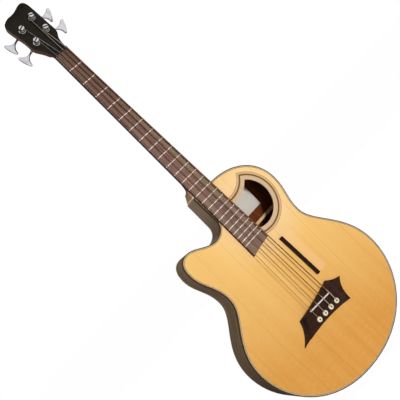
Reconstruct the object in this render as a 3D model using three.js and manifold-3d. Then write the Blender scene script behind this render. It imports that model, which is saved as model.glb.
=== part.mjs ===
// Four-string acoustic bass guitar, strung left-handed, with one deep cutaway and a leaf-shaped sound hole.
// Millimetres, seen upright: +Z runs up the neck, the soundboard faces -Y, +X is the thickest string's side.
// The origin is the middle of the end pin's outer face. Three kinds of length run down the strings: from_nut
// starts at the nut, down starts where the body does, and past_scale starts where the scale length ends.
import * as THREE from 'three';
import { mergeVertices } from 'three/addons/utils/BufferGeometryUtils.js';
import Module from 'manifold-3d';

const wasm = await Module();
wasm.setup();

// Scale and frame
const scale_length = 813;
const fret_count = 24;
const octave_frets = 12;
const joint_fret = 14;
const body_before_joint_fret = 0.35;
const body_start = fret_from_nut(joint_fret) - body_before_joint_fret;
const body_length = 554.5;
const pin_stand_out = 13;
const nut_height = pin_stand_out + body_length + body_start;
const clearance = 0.3;
const overrun = 5;
const curve_steps = 7;
const head_curve_steps = 5;
const small_curve_steps = 4;
const corner_steps = 2;
const round_sides = 16;
const slim_sides = 10;
const coil_turn_steps = 24;

// Body
const soundboard_face = -49;
const plate_thickness = 3;
const side_thickness = 2.5;
const binding_width = 2;
const binding_depth = 6;
const lining_width = 6;
const lining_depth = 12;
const depth_at_neck = 66;
const depth_at_tail = 98;
const neck_seat_half_width = 30;
// Each knot of the outline: across, down, heading in degrees, handle before it and handle after it
const lower_bout = { half_width: 216, down: 371.5, along_handle: 90, tail_handle: 139 };
const body_knots = [
  [neck_seat_half_width, 0, 0, 0, 72],
  [153, 98.5, -90, 58, 41],
  [136.5, 191.5, -90, 39, 49],
  [lower_bout.half_width, lower_bout.down, -90, lower_bout.along_handle, lower_bout.along_handle],
  [0, body_length, 180, lower_bout.tail_handle, lower_bout.tail_handle],
  [-lower_bout.half_width, lower_bout.down, 90, lower_bout.along_handle, 84],
  [-142, 211.5, 90, 49, 42],
  [-167, 113.5, 90, 37, 14],
  [-136, 74.5, 0, 28, 24],
  [-64, 101.5, 0, 28, 16],
  [-neck_seat_half_width, 71.5, 90, 20, 0],
  [-neck_seat_half_width, 0, 90, 0, 0],
];

// Sound hole: a round disc, bitten into by a second disc, and cut off straight under the fingerboard's edge
const hole = { across: 57, down: 100.5, radius: 60 };
const bite = { across: 38, down: -4.5, radius: 79.5 };
const hole_straight_edge = 22;
const rosette_width = 19.5;
const rosette_depth = 1.5;
const rosette_straight_edge = 24;
const disc_steps = 24;

// Bracing
const brace_width = 7;
const top_brace_height = 10;
const back_brace_height = 15;
const brace_end_gap = 1;
const upper_brace_down = 41.5;
const waist_brace_down = 191.5;
const strut_across = 9;
const cross_brace_foot = { across: 150, down: 454.5 };
const cross_brace_head_across = 110;
const bridge_plate = { across: 90, past_scale: 32, along: 34, thickness: 3 };
const tail_strut_down = 284.5;
const back_braces_down = [49.5, 149.5, 249.5, 349.5, 454.5];
const back_strip = { width: 26, thickness: 2.5, start: 39.5, end: 519.5 };
const tail_block = { width: 64, along: 18 };
const neck_block = { left: -27.2, right: 33, end: 34.5 };
const tenon_half_width = 23.7;

// Neck
const nut_width = 38.5;
const width_at_last_fret = 56.96;
const width_growth = (width_at_last_fret - nut_width) / fret_from_nut(fret_count);
const fingerboard_thickness = 7.25;
const fingerboard_end = { thin_side_past_fret: 30.25, thick_side_past_fret: 21.75, hollow: 2 };
const crown_width = 2.7;
const crown_height = 1.25;
const fret_end_inset = 0.4;
const fret_steps = 3;
const fret_plane = soundboard_face - fingerboard_thickness - crown_height;
const nut_thickness = 5;
const nut_corner = 1.2;
const string_height_at_nut = 0.9;
const neck_ring_steps = 12;
// Each station of the neck: from_nut, added half width, depth below the fingerboard and squareness
const neck_stations = [
  [-4, 0, 14.2, 2.4],
  [4, 0, 14.8, 2.2],
  [30, 0, 15, 2.2],
  [230, 0, 16, 2.2],
];
// Each station of the heel: how far before the body, then the same as for the neck
const heel_cheek = 3;
const heel_stations = [
  [45.5, 0, 17.2, 2.3],
  [32.5, 0.6, 18.5, 2.8],
  [24.5, 1.6, 21, 4],
  [21.5, 2.3, 28, 6],
  [20, 2.8, 37, 8],
  [17.5, heel_cheek, 42, 8],
  [13.5, heel_cheek, 47.5, 8],
  [8.5, heel_cheek, 54, 8],
  [4.5, heel_cheek, 60, 8],
  [clearance, heel_cheek, depth_at_neck, 8],
];
// Where the back of the neck runs out into the headstock, in the headstock's own frame
const neck_root = { up: 22, half_width: 20.6, front: 5, overlap: 1, squareness: 7, core_start: 12 };

// Headstock: its own frame starts at the nut, with z up along the face and y into it
const head_drop = 4;
const head_tilt = THREE.MathUtils.degToRad(12.516);
const head_thickness = 15;
const veneer_thickness = 1.2;
// Each knot: across, up the face, heading in degrees, handle before it and handle after it
const head_knots = [
  [19.3, 0, 90, 0, 15],
  [29.5, 43, 52, 12, 7],
  [37.5, 68, 90, 13, 18],
  [41, 155, 90, 26, 10],
  [30, 173, 180, 7, 8],
  [8, 165, 205, 8, 8],
  [-14, 160, 184, 8, 8],
  [-33, 153, 212, 6, 6],
  [-41, 137, -90, 9, 16],
  [-37, 82, -90, 16, 10],
  [-37.2, 54, -84, 10, 8],
  [-19.3, 0, -90, 30, 0],
];
const rod_cover = { start: 11, length: 42, wide: 20, narrow: 9, thickness: 1.6, corner: 3 };

// Bridge
const bridge_height = 11;
const wing_height = 3.5;
// Each corner of the bridge, then the middle of the hollow edge that leads to the next corner: across and
// past_scale of both
const bridge_corners = [
  [-64, -0.2, -9, -5.6],
  [50, -14.6, 65, -3.4],
  [84.5, 5, 68, 27],
  [63.5, 57, -20, 43],
  [-101, 46.5, -77, 25],
];
const bridge_rear_slope = { start: 37, end: 51 };
const wing_slopes = { thin_side: [-76, -50], thick_side: [42, 60] };
// The thin and thick ends of the saddle and of the row of pins are past_scale
const saddle = { thickness: 3.2, length: 67, slot_depth: 6, stand_out: 2.5, thin_end: 2.5, thick_end: 8 };
const pin_row = { thin_end: 29.3, thick_end: 32.5, hole_radius: 4 };
const bridge_pin = { head_radius: 5.2, head_height: 3.4, shaft_radius: 3.6, tip_radius: 3, below_top: 6 };

// Thumb rest
const thumb_rest = {
  width: 8, length: 121, height: 8, corner: 2, across: 51.4, past_scale: -97, lean: -0.026,
};

// End pin
const end_pin = {
  face_radius: 7, waist_radius: 4.5, base_radius: 7, shaft_radius: 4.5,
  rim: 3, base: 2.5, chamfer: 1, flare: 1.5, reach: 30,
};

// Strings, from the thinnest to the thickest
const strings = [
  { name: 'g', radius: 0.57, turns: 2.5 },
  { name: 'd', radius: 0.83, turns: 2.25 },
  { name: 'a', radius: 1.08, turns: 2 },
  { name: 'e', radius: 1.33, turns: 1.75 },
];
const nut_spacing = 10.15;
const bridge_spacing = 20.5;
const string_sides = 6;
const turn_gap = 0.5;
const ball_end = { radius: 2.8, length: 5, below_pin: 6 };
const knee_share = 0.3;
const knee_steps = 4;

// Tuning machines, each in its own frame: x runs along the key's shaft, y into the headstock and z up its face
const splay = THREE.MathUtils.degToRad(21.5);
const post_across = 20.5;
const posts = {
  g: { side: -1, up: 59.5 },
  d: { side: -1, up: 107.5 },
  a: { side: 1, up: 120.5 },
  e: { side: 1, up: 72.5 },
};
const key_rest_turn = { '-1': THREE.MathUtils.degToRad(23), 1: THREE.MathUtils.degToRad(53) };
const wheel_teeth = 20;
const wheel_pitch_radius = 7.5;
const worm_pitch_radius = 3.1;
const centre_distance = wheel_pitch_radius + worm_pitch_radius;
const thread_pitch = 2 * Math.PI * wheel_pitch_radius / wheel_teeth;
const worm_outer_radius = 3.8;
const worm_root_radius = 2.2;
const worm_turns = 3;
const worm_steps = 10;
const tooth_outer_radius = centre_distance - worm_root_radius - clearance;
const tooth_root_radius = centre_distance - worm_outer_radius - clearance;
const tooth_width = thread_pitch / 2 - clearance;
const tooth_lean_share = 0.22;
const wheel_width = 5;
const wheel_play = 0.9;
const base_plate = { thickness: 1.5, left: -12.2, right: 11.4, bottom: -10.5, top: 15.4, corner: 3 };
const base_plate_back = head_thickness + clearance + base_plate.thickness;
const shaft_depth = base_plate_back + clearance + worm_outer_radius;
const bearing = { centre: 9.2, thickness: 2.4, half_width: 4.2, hole_radius: worm_root_radius + clearance };
const bushing = { inner: 4.9, outer: 6.4, flange: 8.5, flange_height: 2 };
const post = {
  radius: 4.6, waist: 5, crown: 6.5, waist_top: 11, top: 13.4, flare: 1, chamfer: 0.8,
  bore: 1.9, bore_depth: 9,
};
const post_slot = { width: 3, depth: 3.6 };
const wheel_front = base_plate_back + wheel_play;
const wheel_screw = { radius: 3, height: 1.4, sunk: 1 };
const key_shaft = {
  past_bearing: 2.2, end: 27, tip: 9, neck_radius: 2.3, end_radius: 2.6, tip_radius: 1.8,
};
const key_collar = { start: 10.9, length: 2, taper: 3, radius: 3.3 };
const paddle_thickness = 2.8;
// Each knot of half the paddle: along the shaft, half width, heading in degrees, handle before and after it
const paddle_knots = [
  [25, 2.3, 8, 0, 8],
  [41, 14, 62, 6, 2.5],
  [45, 17.2, 0, 2, 2],
  [48.3, 13.6, -82, 2.4, 5],
  [49.6, 0, -90, 6, 6],
];

// Colours, roughness and metalness, as photographed
const spruce = new THREE.MeshStandardMaterial({ color: 0xe8bd77, roughness: 0.35, metalness: 0 });
const inner_spruce = new THREE.MeshStandardMaterial({ color: 0xd9bd8c, roughness: 0.8, metalness: 0 });
const side_wood = new THREE.MeshStandardMaterial({ color: 0x5c4b3c, roughness: 0.4, metalness: 0 });
const neck_wood = new THREE.MeshStandardMaterial({ color: 0x6e4e42, roughness: 0.45, metalness: 0 });
const fingerboard_wood = new THREE.MeshStandardMaterial({ color: 0x6b534a, roughness: 0.6, metalness: 0 });
const bridge_wood = new THREE.MeshStandardMaterial({ color: 0x3c2828, roughness: 0.5, metalness: 0 });
const black_wood = new THREE.MeshStandardMaterial({ color: 0x23231e, roughness: 0.3, metalness: 0 });
const rosette_wood = new THREE.MeshStandardMaterial({ color: 0xc79a70, roughness: 0.4, metalness: 0 });
const binding_plastic = new THREE.MeshStandardMaterial({ color: 0x6d6258, roughness: 0.4, metalness: 0 });
const bone = new THREE.MeshStandardMaterial({ color: 0xebdcd2, roughness: 0.4, metalness: 0 });
const cream_plastic = new THREE.MeshStandardMaterial({ color: 0xf0e6c8, roughness: 0.3, metalness: 0 });
const fret_metal = new THREE.MeshStandardMaterial({ color: 0xdcc3b9, roughness: 0.3, metalness: 1 });
const string_metal = new THREE.MeshStandardMaterial({ color: 0xa0826e, roughness: 0.35, metalness: 1 });
const chrome = new THREE.MeshStandardMaterial({ color: 0xc8c8cc, roughness: 0.12, metalness: 1 });

const guitar = new THREE.Group();

function fret_from_nut(number) {
  return scale_length * (1 - 2 ** (-number / octave_frets));
}

// Heights in the guitar's frame of places given from the nut, from the body's start and from the scale's end
function up(from_nut) {
  return nut_height - from_nut;
}

function body_up(down) {
  return up(body_start + down);
}

function scale_up(past_scale) {
  return up(scale_length + past_scale);
}

function half_width(from_nut) {
  return (nut_width + width_growth * from_nut) / 2;
}

// Solids for joining and cutting
function to_solid(geometry) {
  const bare = geometry.clone();
  bare.deleteAttribute('uv');
  bare.deleteAttribute('normal');
  const merged = mergeVertices(bare);
  const vertProperties = new Float32Array(merged.attributes.position.array);
  const triVerts = new Uint32Array(merged.index.array);
  return new wasm.Manifold(new wasm.Mesh({ numProp: 3, vertProperties, triVerts }));
}

function to_geometry(solid) {
  const mesh = solid.getMesh();
  const geometry = new THREE.BufferGeometry();
  geometry.setAttribute('position', new THREE.BufferAttribute(mesh.vertProperties, mesh.numProp));
  geometry.setIndex(new THREE.BufferAttribute(mesh.triVerts, 1));
  return geometry;
}

function join(...solids) {
  return solids.reduce((whole, solid) => whole.add(solid));
}

// Puts one named piece into the guitar or into one of its groups
function place(name, shape, material, parent = guitar) {
  const geometry = shape.isBufferGeometry ? shape : to_geometry(shape);
  const mesh = new THREE.Mesh(geometry, material);
  mesh.name = name;
  parent.add(mesh);
  return mesh;
}

// Smooth closed outline through knots, each with a heading and two handle lengths
function smooth_outline(knots, steps = curve_steps) {
  const path = new THREE.Path();
  const start = knots[0];
  path.moveTo(start[0], start[1]);
  for (let i = 1; i < knots.length; i += 1) {
    const [x0, z0, heading0, , after] = knots[i - 1];
    const [x1, z1, heading1, before] = knots[i];
    const leave = THREE.MathUtils.degToRad(heading0);
    const arrive = THREE.MathUtils.degToRad(heading1);
    if (after === 0) {
      path.lineTo(x1, z1);
    } else {
      path.bezierCurveTo(
        x0 + after * Math.cos(leave), z0 + after * Math.sin(leave),
        x1 - before * Math.cos(arrive), z1 - before * Math.sin(arrive), x1, z1,
      );
    }
  }
  return path.getPoints(steps);
}

// Moves a clockwise outline inwards by a distance, with mitred corners
function inset(points, distance) {
  return points.map((point, i) => {
    const before = points[(i + points.length - 1) % points.length];
    const after = points[(i + 1) % points.length];
    const arriving = point.clone().sub(before).normalize();
    const leaving = after.clone().sub(point).normalize();
    const inward = new THREE.Vector2(arriving.y + leaving.y, -arriving.x - leaving.x);
    return inward.multiplyScalar(distance / (1 + arriving.dot(leaving))).add(point);
  });
}

// A flat plate: its outline lies in X and Z, and its thickness runs from front_y towards +Y
function plate(outline, front_y, thickness, steps = curve_steps) {
  const shape = Array.isArray(outline) ? new THREE.Shape(outline) : outline;
  const geometry = new THREE.ExtrudeGeometry(shape, {
    depth: thickness, bevelEnabled: false, curveSegments: steps,
  });
  geometry.rotateX(Math.PI / 2);
  geometry.translate(0, front_y + thickness, 0);
  return geometry;
}

function plate_solid(outline, front_y, thickness, steps) {
  return to_solid(plate(outline, front_y, thickness, steps));
}

// A box between two corners
function box_solid(x0, x1, y0, y1, z0, z1) {
  const geometry = new THREE.BoxGeometry(x1 - x0, y1 - y0, z1 - z0);
  geometry.translate((x0 + x1) / 2, (y0 + y1) / 2, (z0 + z1) / 2);
  return to_solid(geometry);
}

function disc_shape(across, height, radius) {
  const shape = new THREE.Shape();
  shape.absarc(across, height, radius, 0, 2 * Math.PI, false);
  return shape;
}

// A round bar along Y between two depths
function bar_along_y(radius, y0, y1, x = 0, z = 0, sides = round_sides) {
  const geometry = new THREE.CylinderGeometry(radius, radius, y1 - y0, sides);
  geometry.translate(x, (y0 + y1) / 2, z);
  return to_solid(geometry);
}

// A round bar along X
function bar_along_x(radius, x0, x1, y, z) {
  const geometry = new THREE.CylinderGeometry(radius, radius, x1 - x0, slim_sides);
  geometry.rotateZ(Math.PI / 2);
  geometry.translate((x0 + x1) / 2, y, z);
  return to_solid(geometry);
}

// A rectangle with rounded corners
function rounded_rectangle(left, right, bottom, top, corner) {
  const shape = new THREE.Shape();
  const quarter = Math.PI / 2;
  shape.absarc(right - corner, top - corner, corner, 0, quarter, false);
  shape.absarc(left + corner, top - corner, corner, quarter, 2 * quarter, false);
  shape.absarc(left + corner, bottom + corner, corner, 2 * quarter, 3 * quarter, false);
  shape.absarc(right - corner, bottom + corner, corner, 3 * quarter, 4 * quarter, false);
  return shape;
}

// A closed skin over a row of rings that have the same number of points
function loft(rings) {
  const count = rings[0].length;
  const positions = [];
  const index = [];
  for (const ring of rings) {
    for (const point of ring) positions.push(point.x, point.y, point.z);
  }
  for (let ring = 0; ring + 1 < rings.length; ring += 1) {
    for (let i = 0; i < count; i += 1) {
      const a = ring * count + i;
      const b = ring * count + (i + 1) % count;
      index.push(a, b, a + count, b, b + count, a + count);
    }
  }
  const first = rings[0].map((point) => new THREE.Vector3().copy(point));
  const cap = triangulate(first);
  const last = (rings.length - 1) * count;
  for (const [a, b, c] of cap) {
    index.push(a, c, b);
    index.push(last + a, last + b, last + c);
  }
  const geometry = new THREE.BufferGeometry();
  geometry.setAttribute('position', new THREE.Float32BufferAttribute(positions, 3));
  geometry.setIndex(index);
  const solid = to_solid(geometry);
  return solid.volume() < 0 ? to_solid(turned_inside_out(geometry)) : solid;
}

// Triangles of a flat ring, found in the plane in which the ring lies
function triangulate(ring) {
  const centre = ring.reduce((sum, point) => sum.add(point), new THREE.Vector3()).divideScalar(ring.length);
  const normal = new THREE.Vector3();
  for (let i = 0; i < ring.length; i += 1) {
    const a = ring[i].clone().sub(centre);
    const b = ring[(i + 1) % ring.length].clone().sub(centre);
    normal.add(a.cross(b));
  }
  const across = ring[0].clone().sub(centre).normalize();
  const along = normal.normalize().clone().cross(across);
  const flat = ring.map((point) => {
    const offset = point.clone().sub(centre);
    return new THREE.Vector2(offset.dot(across), offset.dot(along));
  });
  return THREE.ShapeUtils.triangulateShape(flat, []);
}

function turned_inside_out(geometry) {
  const turned = geometry.clone();
  const index = turned.index.array;
  for (let i = 0; i < index.length; i += 3) {
    const first = index[i];
    index[i] = index[i + 1];
    index[i + 1] = first;
  }
  return turned;
}

// The same solid with left and right exchanged
function mirrored(geometry) {
  const indexed = geometry.index ? geometry.clone() : mergeVertices(geometry);
  indexed.scale(-1, 1, 1);
  return turned_inside_out(indexed);
}

// A tube whose rings sit on the points of its route, so that straight stretches need no rings between
class PointedRoute extends THREE.Curve {
  constructor(points) {
    super();
    this.points = points;
  }

  getPoint(share) {
    const place_on_route = share * (this.points.length - 1);
    const i = Math.min(Math.floor(place_on_route), this.points.length - 2);
    return this.points[i].clone().lerp(this.points[i + 1], place_on_route - i);
  }

  getPointAt(share) {
    return this.getPoint(share);
  }

  getTangentAt(share) {
    const i = Math.round(share * (this.points.length - 1));
    const before = this.points[Math.max(i - 1, 0)];
    const after = this.points[Math.min(i + 1, this.points.length - 1)];
    const here = this.points[i];
    const leaving = after.clone().sub(here).normalize();
    const arriving = here.clone().sub(before).normalize();
    return leaving.add(arriving).normalize();
  }
}

function tube(points, radius) {
  const section = new THREE.Shape();
  for (let i = 0; i < string_sides; i += 1) {
    const angle = 2 * Math.PI * i / string_sides;
    const x = radius * Math.cos(angle);
    const y = radius * Math.sin(angle);
    if (i === 0) section.moveTo(x, y);
    else section.lineTo(x, y);
  }
  const options = { steps: points.length - 1, extrudePath: new PointedRoute(points), bevelEnabled: false };
  return to_solid(new THREE.ExtrudeGeometry(section, options));
}

// Depths of what stands on the top, and of what hangs below it inside the body
const bridge_top = soundboard_face - bridge_height;
const pin_tip = soundboard_face + plate_thickness + bridge_pin.below_top;
const ball_back = pin_tip + ball_end.below_pin;

// Body outline and the planes of the back
const body_edge = smooth_outline(body_knots.map(([x, down, ...rest]) => [x, body_up(down), ...rest]));
const body_reach = soundboard_face + depth_at_tail + overrun;
const inner_face = soundboard_face + plate_thickness;

function body_plate(distance, front_y, thickness) {
  return plate_solid(inset(body_edge, distance), front_y, thickness);
}

// The layer between two distances in front of the back's outer face, which slopes from the neck to the tail
function back_layer(rear, front) {
  const slope = Math.atan2(depth_at_tail - depth_at_neck, body_length);
  const middle_y = soundboard_face + (depth_at_neck + depth_at_tail) / 2;
  const middle_z = body_up(body_length / 2);
  const geometry = new THREE.BoxGeometry(4 * lower_bout.half_width, front - rear, 2 * body_length);
  geometry.translate(0, -(rear + front) / 2, 0);
  geometry.rotateX(slope);
  geometry.translate(0, middle_y, middle_z);
  return to_solid(geometry);
}

function sound_hole(grown, straight_edge, front_y, thickness) {
  const middle = body_up(hole.down);
  const reach = hole.radius + grown + overrun;
  const front = front_y - overrun;
  const through = thickness + 2 * overrun;
  const disc = disc_shape(hole.across, middle, hole.radius + grown);
  const bite_disc = disc_shape(bite.across, body_up(bite.down), bite.radius - grown);
  const under_fingerboard = box_solid(
    hole.across - reach, straight_edge, front, front + through, middle - reach, middle + reach,
  );
  return plate_solid(disc, front_y, thickness, disc_steps)
    .subtract(plate_solid(bite_disc, front, through, disc_steps))
    .subtract(under_fingerboard);
}

// Places of the pins, the saddle and the strings across the bridge
function string_across(i, spacing) {
  return (i - (strings.length - 1) / 2) * spacing;
}

function along_slant(across, thin_end, thick_end, half_span) {
  return thin_end + (thick_end - thin_end) * (across + half_span) / (2 * half_span);
}

function pin_height(across) {
  const half_span = string_across(strings.length - 1, bridge_spacing);
  return scale_up(along_slant(across, pin_row.thin_end, pin_row.thick_end, half_span));
}

function saddle_height(across) {
  return scale_up(along_slant(across, saddle.thin_end, saddle.thick_end, saddle.length / 2));
}

const pin_places = strings.map((string, i) => {
  const across = string_across(i, bridge_spacing);
  return { across, height: pin_height(across) };
});

function pin_holes(front_y, back_y) {
  return join(...pin_places.map(({ across, height }) => (
    bar_along_y(pin_row.hole_radius, front_y - overrun, back_y + overrun, across, height)
  )));
}

function add_body() {
  const full_depth = body_reach - soundboard_face;
  const lining_inset = side_thickness + lining_width;

  const rosette = sound_hole(rosette_width, rosette_straight_edge, soundboard_face, rosette_depth)
    .subtract(sound_hole(0, hole_straight_edge, soundboard_face - overrun, rosette_depth + 2 * overrun));
  const soundboard = body_plate(binding_width, soundboard_face, plate_thickness)
    .subtract(sound_hole(0, hole_straight_edge, soundboard_face - overrun, plate_thickness + 2 * overrun))
    .subtract(rosette)
    .subtract(pin_holes(soundboard_face, inner_face));
  const binding = body_plate(0, soundboard_face, binding_depth)
    .subtract(body_plate(binding_width, soundboard_face - overrun, binding_depth + 2 * overrun));

  const wall = body_plate(0, inner_face, full_depth)
    .subtract(body_plate(side_thickness, inner_face - overrun, full_depth + 2 * overrun));
  const lining = body_plate(side_thickness / 2, inner_face, full_depth)
    .subtract(body_plate(lining_inset, inner_face - overrun, full_depth + 2 * overrun));
  const across = lower_bout.half_width + overrun;
  const front_band = box_solid(-across, across, inner_face, inner_face + lining_depth, 0, up(0));
  const back_band = back_layer(plate_thickness, plate_thickness + lining_depth);
  const tail = body_up(body_length) + side_thickness / 2;
  const block = box_solid(
    -tail_block.width / 2, tail_block.width / 2, inner_face, body_reach, tail, tail + tail_block.along,
  ).intersect(body_plate(side_thickness / 2, inner_face, full_depth));
  const heel_way = box_solid(
    -tenon_half_width - clearance, tenon_half_width + clearance, inner_face - overrun, body_reach,
    body_up(side_thickness + clearance), body_up(0) + overrun,
  );
  const block_way = box_solid(
    -neck_seat_half_width + side_thickness, neck_block.right + clearance, inner_face - overrun, body_reach,
    body_up(neck_block.end + clearance), body_up(side_thickness),
  );
  const pin_radius = end_pin.shaft_radius + clearance;
  const pin_way = new THREE.CylinderGeometry(pin_radius, pin_radius, 2 * end_pin.reach, round_sides);
  pin_way.rotateX(Math.PI / 2);
  pin_way.translate(0, 0, pin_stand_out + end_pin.reach / 2);
  const rim = join(wall, lining.intersect(front_band), lining.intersect(back_band), block)
    .subtract(back_layer(-body_length, plate_thickness + clearance))
    .subtract(binding)
    .subtract(heel_way)
    .subtract(block_way)
    .subtract(to_solid(pin_way));
  const back = body_plate(0, soundboard_face, full_depth).intersect(back_layer(0, plate_thickness));

  place('soundboard', soundboard, spruce);
  place('rosette', rosette, rosette_wood);
  place('top_binding', binding, binding_plastic);
  place('rim', rim, side_wood);
  place('back_plate', back, side_wood);
}

// A straight brace between two places on a plate
function brace(x0, z0, x1, z1, front_y, height, width = brace_width) {
  const run = x1 - x0;
  const drop = z0 - z1;
  const geometry = new THREE.BoxGeometry(Math.hypot(run, drop), height, width);
  geometry.rotateY(Math.atan2(drop, run));
  geometry.translate((x0 + x1) / 2, front_y + height / 2, (z0 + z1) / 2);
  return to_solid(geometry);
}

function add_bracing() {
  const wide = lower_bout.half_width;
  const within = body_plate(
    side_thickness + lining_width + brace_end_gap, soundboard_face, body_reach - soundboard_face,
  );
  const upper = body_up(upper_brace_down);
  const waist = body_up(waist_brace_down);
  const foot = body_up(cross_brace_foot.down);
  const under_pins = scale_up(bridge_plate.past_scale);
  const on_top = (x0, z0, x1, z1) => brace(x0, z0, x1, z1, inner_face, top_brace_height);

  const under_bridge = box_solid(
    -bridge_plate.across / 2, bridge_plate.across / 2, inner_face, inner_face + bridge_plate.thickness,
    under_pins - bridge_plate.along / 2, under_pins + bridge_plate.along / 2,
  );
  const top_bracing = join(
    on_top(-neck_seat_half_width, upper, wide, upper),
    on_top(strut_across, upper, strut_across, waist),
    on_top(-wide, waist, wide, waist),
    on_top(-cross_brace_head_across, waist, cross_brace_foot.across, foot),
    on_top(cross_brace_head_across, waist, -cross_brace_foot.across, foot),
    on_top(0, body_up(tail_strut_down), 0, under_pins),
    under_bridge,
  ).intersect(within).subtract(pin_holes(inner_face, inner_face + top_brace_height));

  const rear = plate_thickness + clearance;
  const ribs = back_braces_down.map((down) => (
    brace(-wide, body_up(down), wide, body_up(down), soundboard_face, body_reach - soundboard_face)
  ));
  const strip = box_solid(
    -back_strip.width / 2, back_strip.width / 2, soundboard_face, body_reach,
    body_up(back_strip.end), body_up(back_strip.start),
  ).intersect(back_layer(rear, rear + back_strip.thickness));
  const back_bracing = join(...ribs)
    .intersect(back_layer(rear, rear + back_brace_height))
    .add(strip)
    .intersect(within);

  place('top_bracing', top_bracing, inner_spruce);
  place('back_bracing', back_bracing, inner_spruce);
}

// One section of the neck: flat under the fingerboard, rounded behind
function neck_ring(from_nut, half, depth, squareness) {
  const ring = [];
  for (let i = 0; i <= neck_ring_steps; i += 1) {
    const angle = Math.PI * i / neck_ring_steps;
    const x = half * Math.sign(Math.cos(angle)) * Math.abs(Math.cos(angle)) ** (2 / squareness);
    const y = depth * Math.sin(angle) ** (2 / squareness);
    ring.push(new THREE.Vector3(x, soundboard_face + y, up(from_nut)));
  }
  return ring;
}

const head = new THREE.Group();
head.position.set(0, fret_plane + head_drop, nut_height);
head.rotation.x = -head_tilt;
guitar.add(head);
head.updateMatrixWorld(true);

const head_edge = smooth_outline(head_knots, head_curve_steps).reverse();
const nut_space = box_solid(
  -nut_width, nut_width, fret_plane - overrun, soundboard_face,
  nut_height - overrun, nut_height + nut_thickness + clearance,
);

function in_guitar_frame(geometry) {
  return geometry.clone().applyMatrix4(head.matrixWorld);
}

function in_head_frame(solid) {
  return to_solid(to_geometry(solid).applyMatrix4(head.matrixWorld.clone().invert()));
}

function bushing_holes() {
  return join(...Object.values(posts).map(({ side, up: height }) => (
    bar_along_y(bushing.outer + clearance, -overrun, head_thickness + overrun, side * post_across, height)
  )));
}

function add_neck() {
  const heel = heel_stations.map(([before, ...rest]) => [body_start - before, ...rest]);
  const rings = neck_stations.concat(heel).map(([from_nut, added, depth, squareness]) => (
    neck_ring(from_nut, half_width(Math.max(from_nut, 0)) + added, depth, squareness)
  ));
  const root_depth = head_thickness - clearance - neck_root.front;
  const root = neck_ring(0, neck_root.half_width, root_depth, neck_root.squareness);
  rings.unshift(root.map(({ x, y }) => (
    head.localToWorld(new THREE.Vector3(x, y - soundboard_face + neck_root.front, neck_root.up))
  )));

  const core_front = veneer_thickness + clearance;
  const under_root = box_solid(
    -nut_width, nut_width, neck_root.front + neck_root.overlap, head_thickness + overrun,
    -overrun, neck_root.core_start,
  );
  const core = plate_solid(head_edge, core_front, head_thickness - core_front)
    .subtract(bushing_holes())
    .subtract(under_root);
  const block = box_solid(
    neck_block.left, neck_block.right, inner_face, body_reach,
    body_up(neck_block.end), body_up(side_thickness + clearance),
  );
  const tenon = box_solid(
    -tenon_half_width, tenon_half_width, soundboard_face + binding_depth + clearance, body_reach,
    body_up(neck_block.end), body_up(0) + 2 * clearance,
  );
  const behind_back = back_layer(-body_length, plate_thickness + clearance);
  const neck = join(
    loft(rings),
    to_solid(in_guitar_frame(to_geometry(core))),
    join(block, tenon).subtract(behind_back),
  ).subtract(nut_space);
  place('neck', neck, neck_wood);

  const veneer = plate_solid(head_edge, 0, veneer_thickness)
    .subtract(bushing_holes())
    .subtract(in_head_frame(nut_space));
  place('headstock_veneer', veneer, black_wood, head);
}

// The cover over the truss rod's nut: wide at the neck and narrow at the rounded end
function add_rod_cover() {
  const { start, length, thickness, corner } = rod_cover;
  const wide = rod_cover.wide / 2;
  const narrow = rod_cover.narrow / 2;
  const middle = start + length / 2;
  const top = start + length;
  const cover = new THREE.Shape();
  cover.moveTo(-wide, start);
  cover.bezierCurveTo(-wide, middle, -narrow, middle, -narrow, top - corner);
  cover.quadraticCurveTo(-narrow, top, 0, top);
  cover.quadraticCurveTo(narrow, top, narrow, top - corner);
  cover.bezierCurveTo(narrow, middle, wide, middle, wide, start);
  const cover_plate = plate(cover, -thickness - clearance, thickness, small_curve_steps);
  place('truss_rod_cover', cover_plate, black_wood, head);
}

function add_fingerboard() {
  const last_fret = fret_from_nut(fret_count);
  const thin_side = last_fret + fingerboard_end.thin_side_past_fret;
  const thick_side = last_fret + fingerboard_end.thick_side_past_fret;
  const board = new THREE.Shape();
  board.moveTo(-nut_width / 2, nut_height);
  board.lineTo(-half_width(thin_side), up(thin_side));
  board.quadraticCurveTo(
    0, up((thin_side + thick_side) / 2 - fingerboard_end.hollow), half_width(thick_side), up(thick_side),
  );
  board.lineTo(nut_width / 2, nut_height);
  const board_plate = plate(board, soundboard_face - fingerboard_thickness, fingerboard_thickness);
  place('fingerboard', board_plate, fingerboard_wood);

  const crown = new THREE.Shape();
  crown.absellipse(0, 0, crown_width / 2, crown_height, 0, Math.PI, false, 0);
  for (let number = 1; number <= fret_count; number += 1) {
    const from_nut = fret_from_nut(number);
    const half = half_width(from_nut) - fret_end_inset;
    const geometry = new THREE.ExtrudeGeometry(crown, {
      depth: 2 * half, bevelEnabled: false, curveSegments: fret_steps,
    });
    geometry.translate(0, 0, -half);
    geometry.rotateY(Math.PI / 2);
    geometry.rotateX(Math.PI);
    const fret = place(`fret_${String(number).padStart(2, '0')}`, geometry, fret_metal);
    fret.position.set(0, soundboard_face - fingerboard_thickness, up(from_nut));
  }
}

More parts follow.
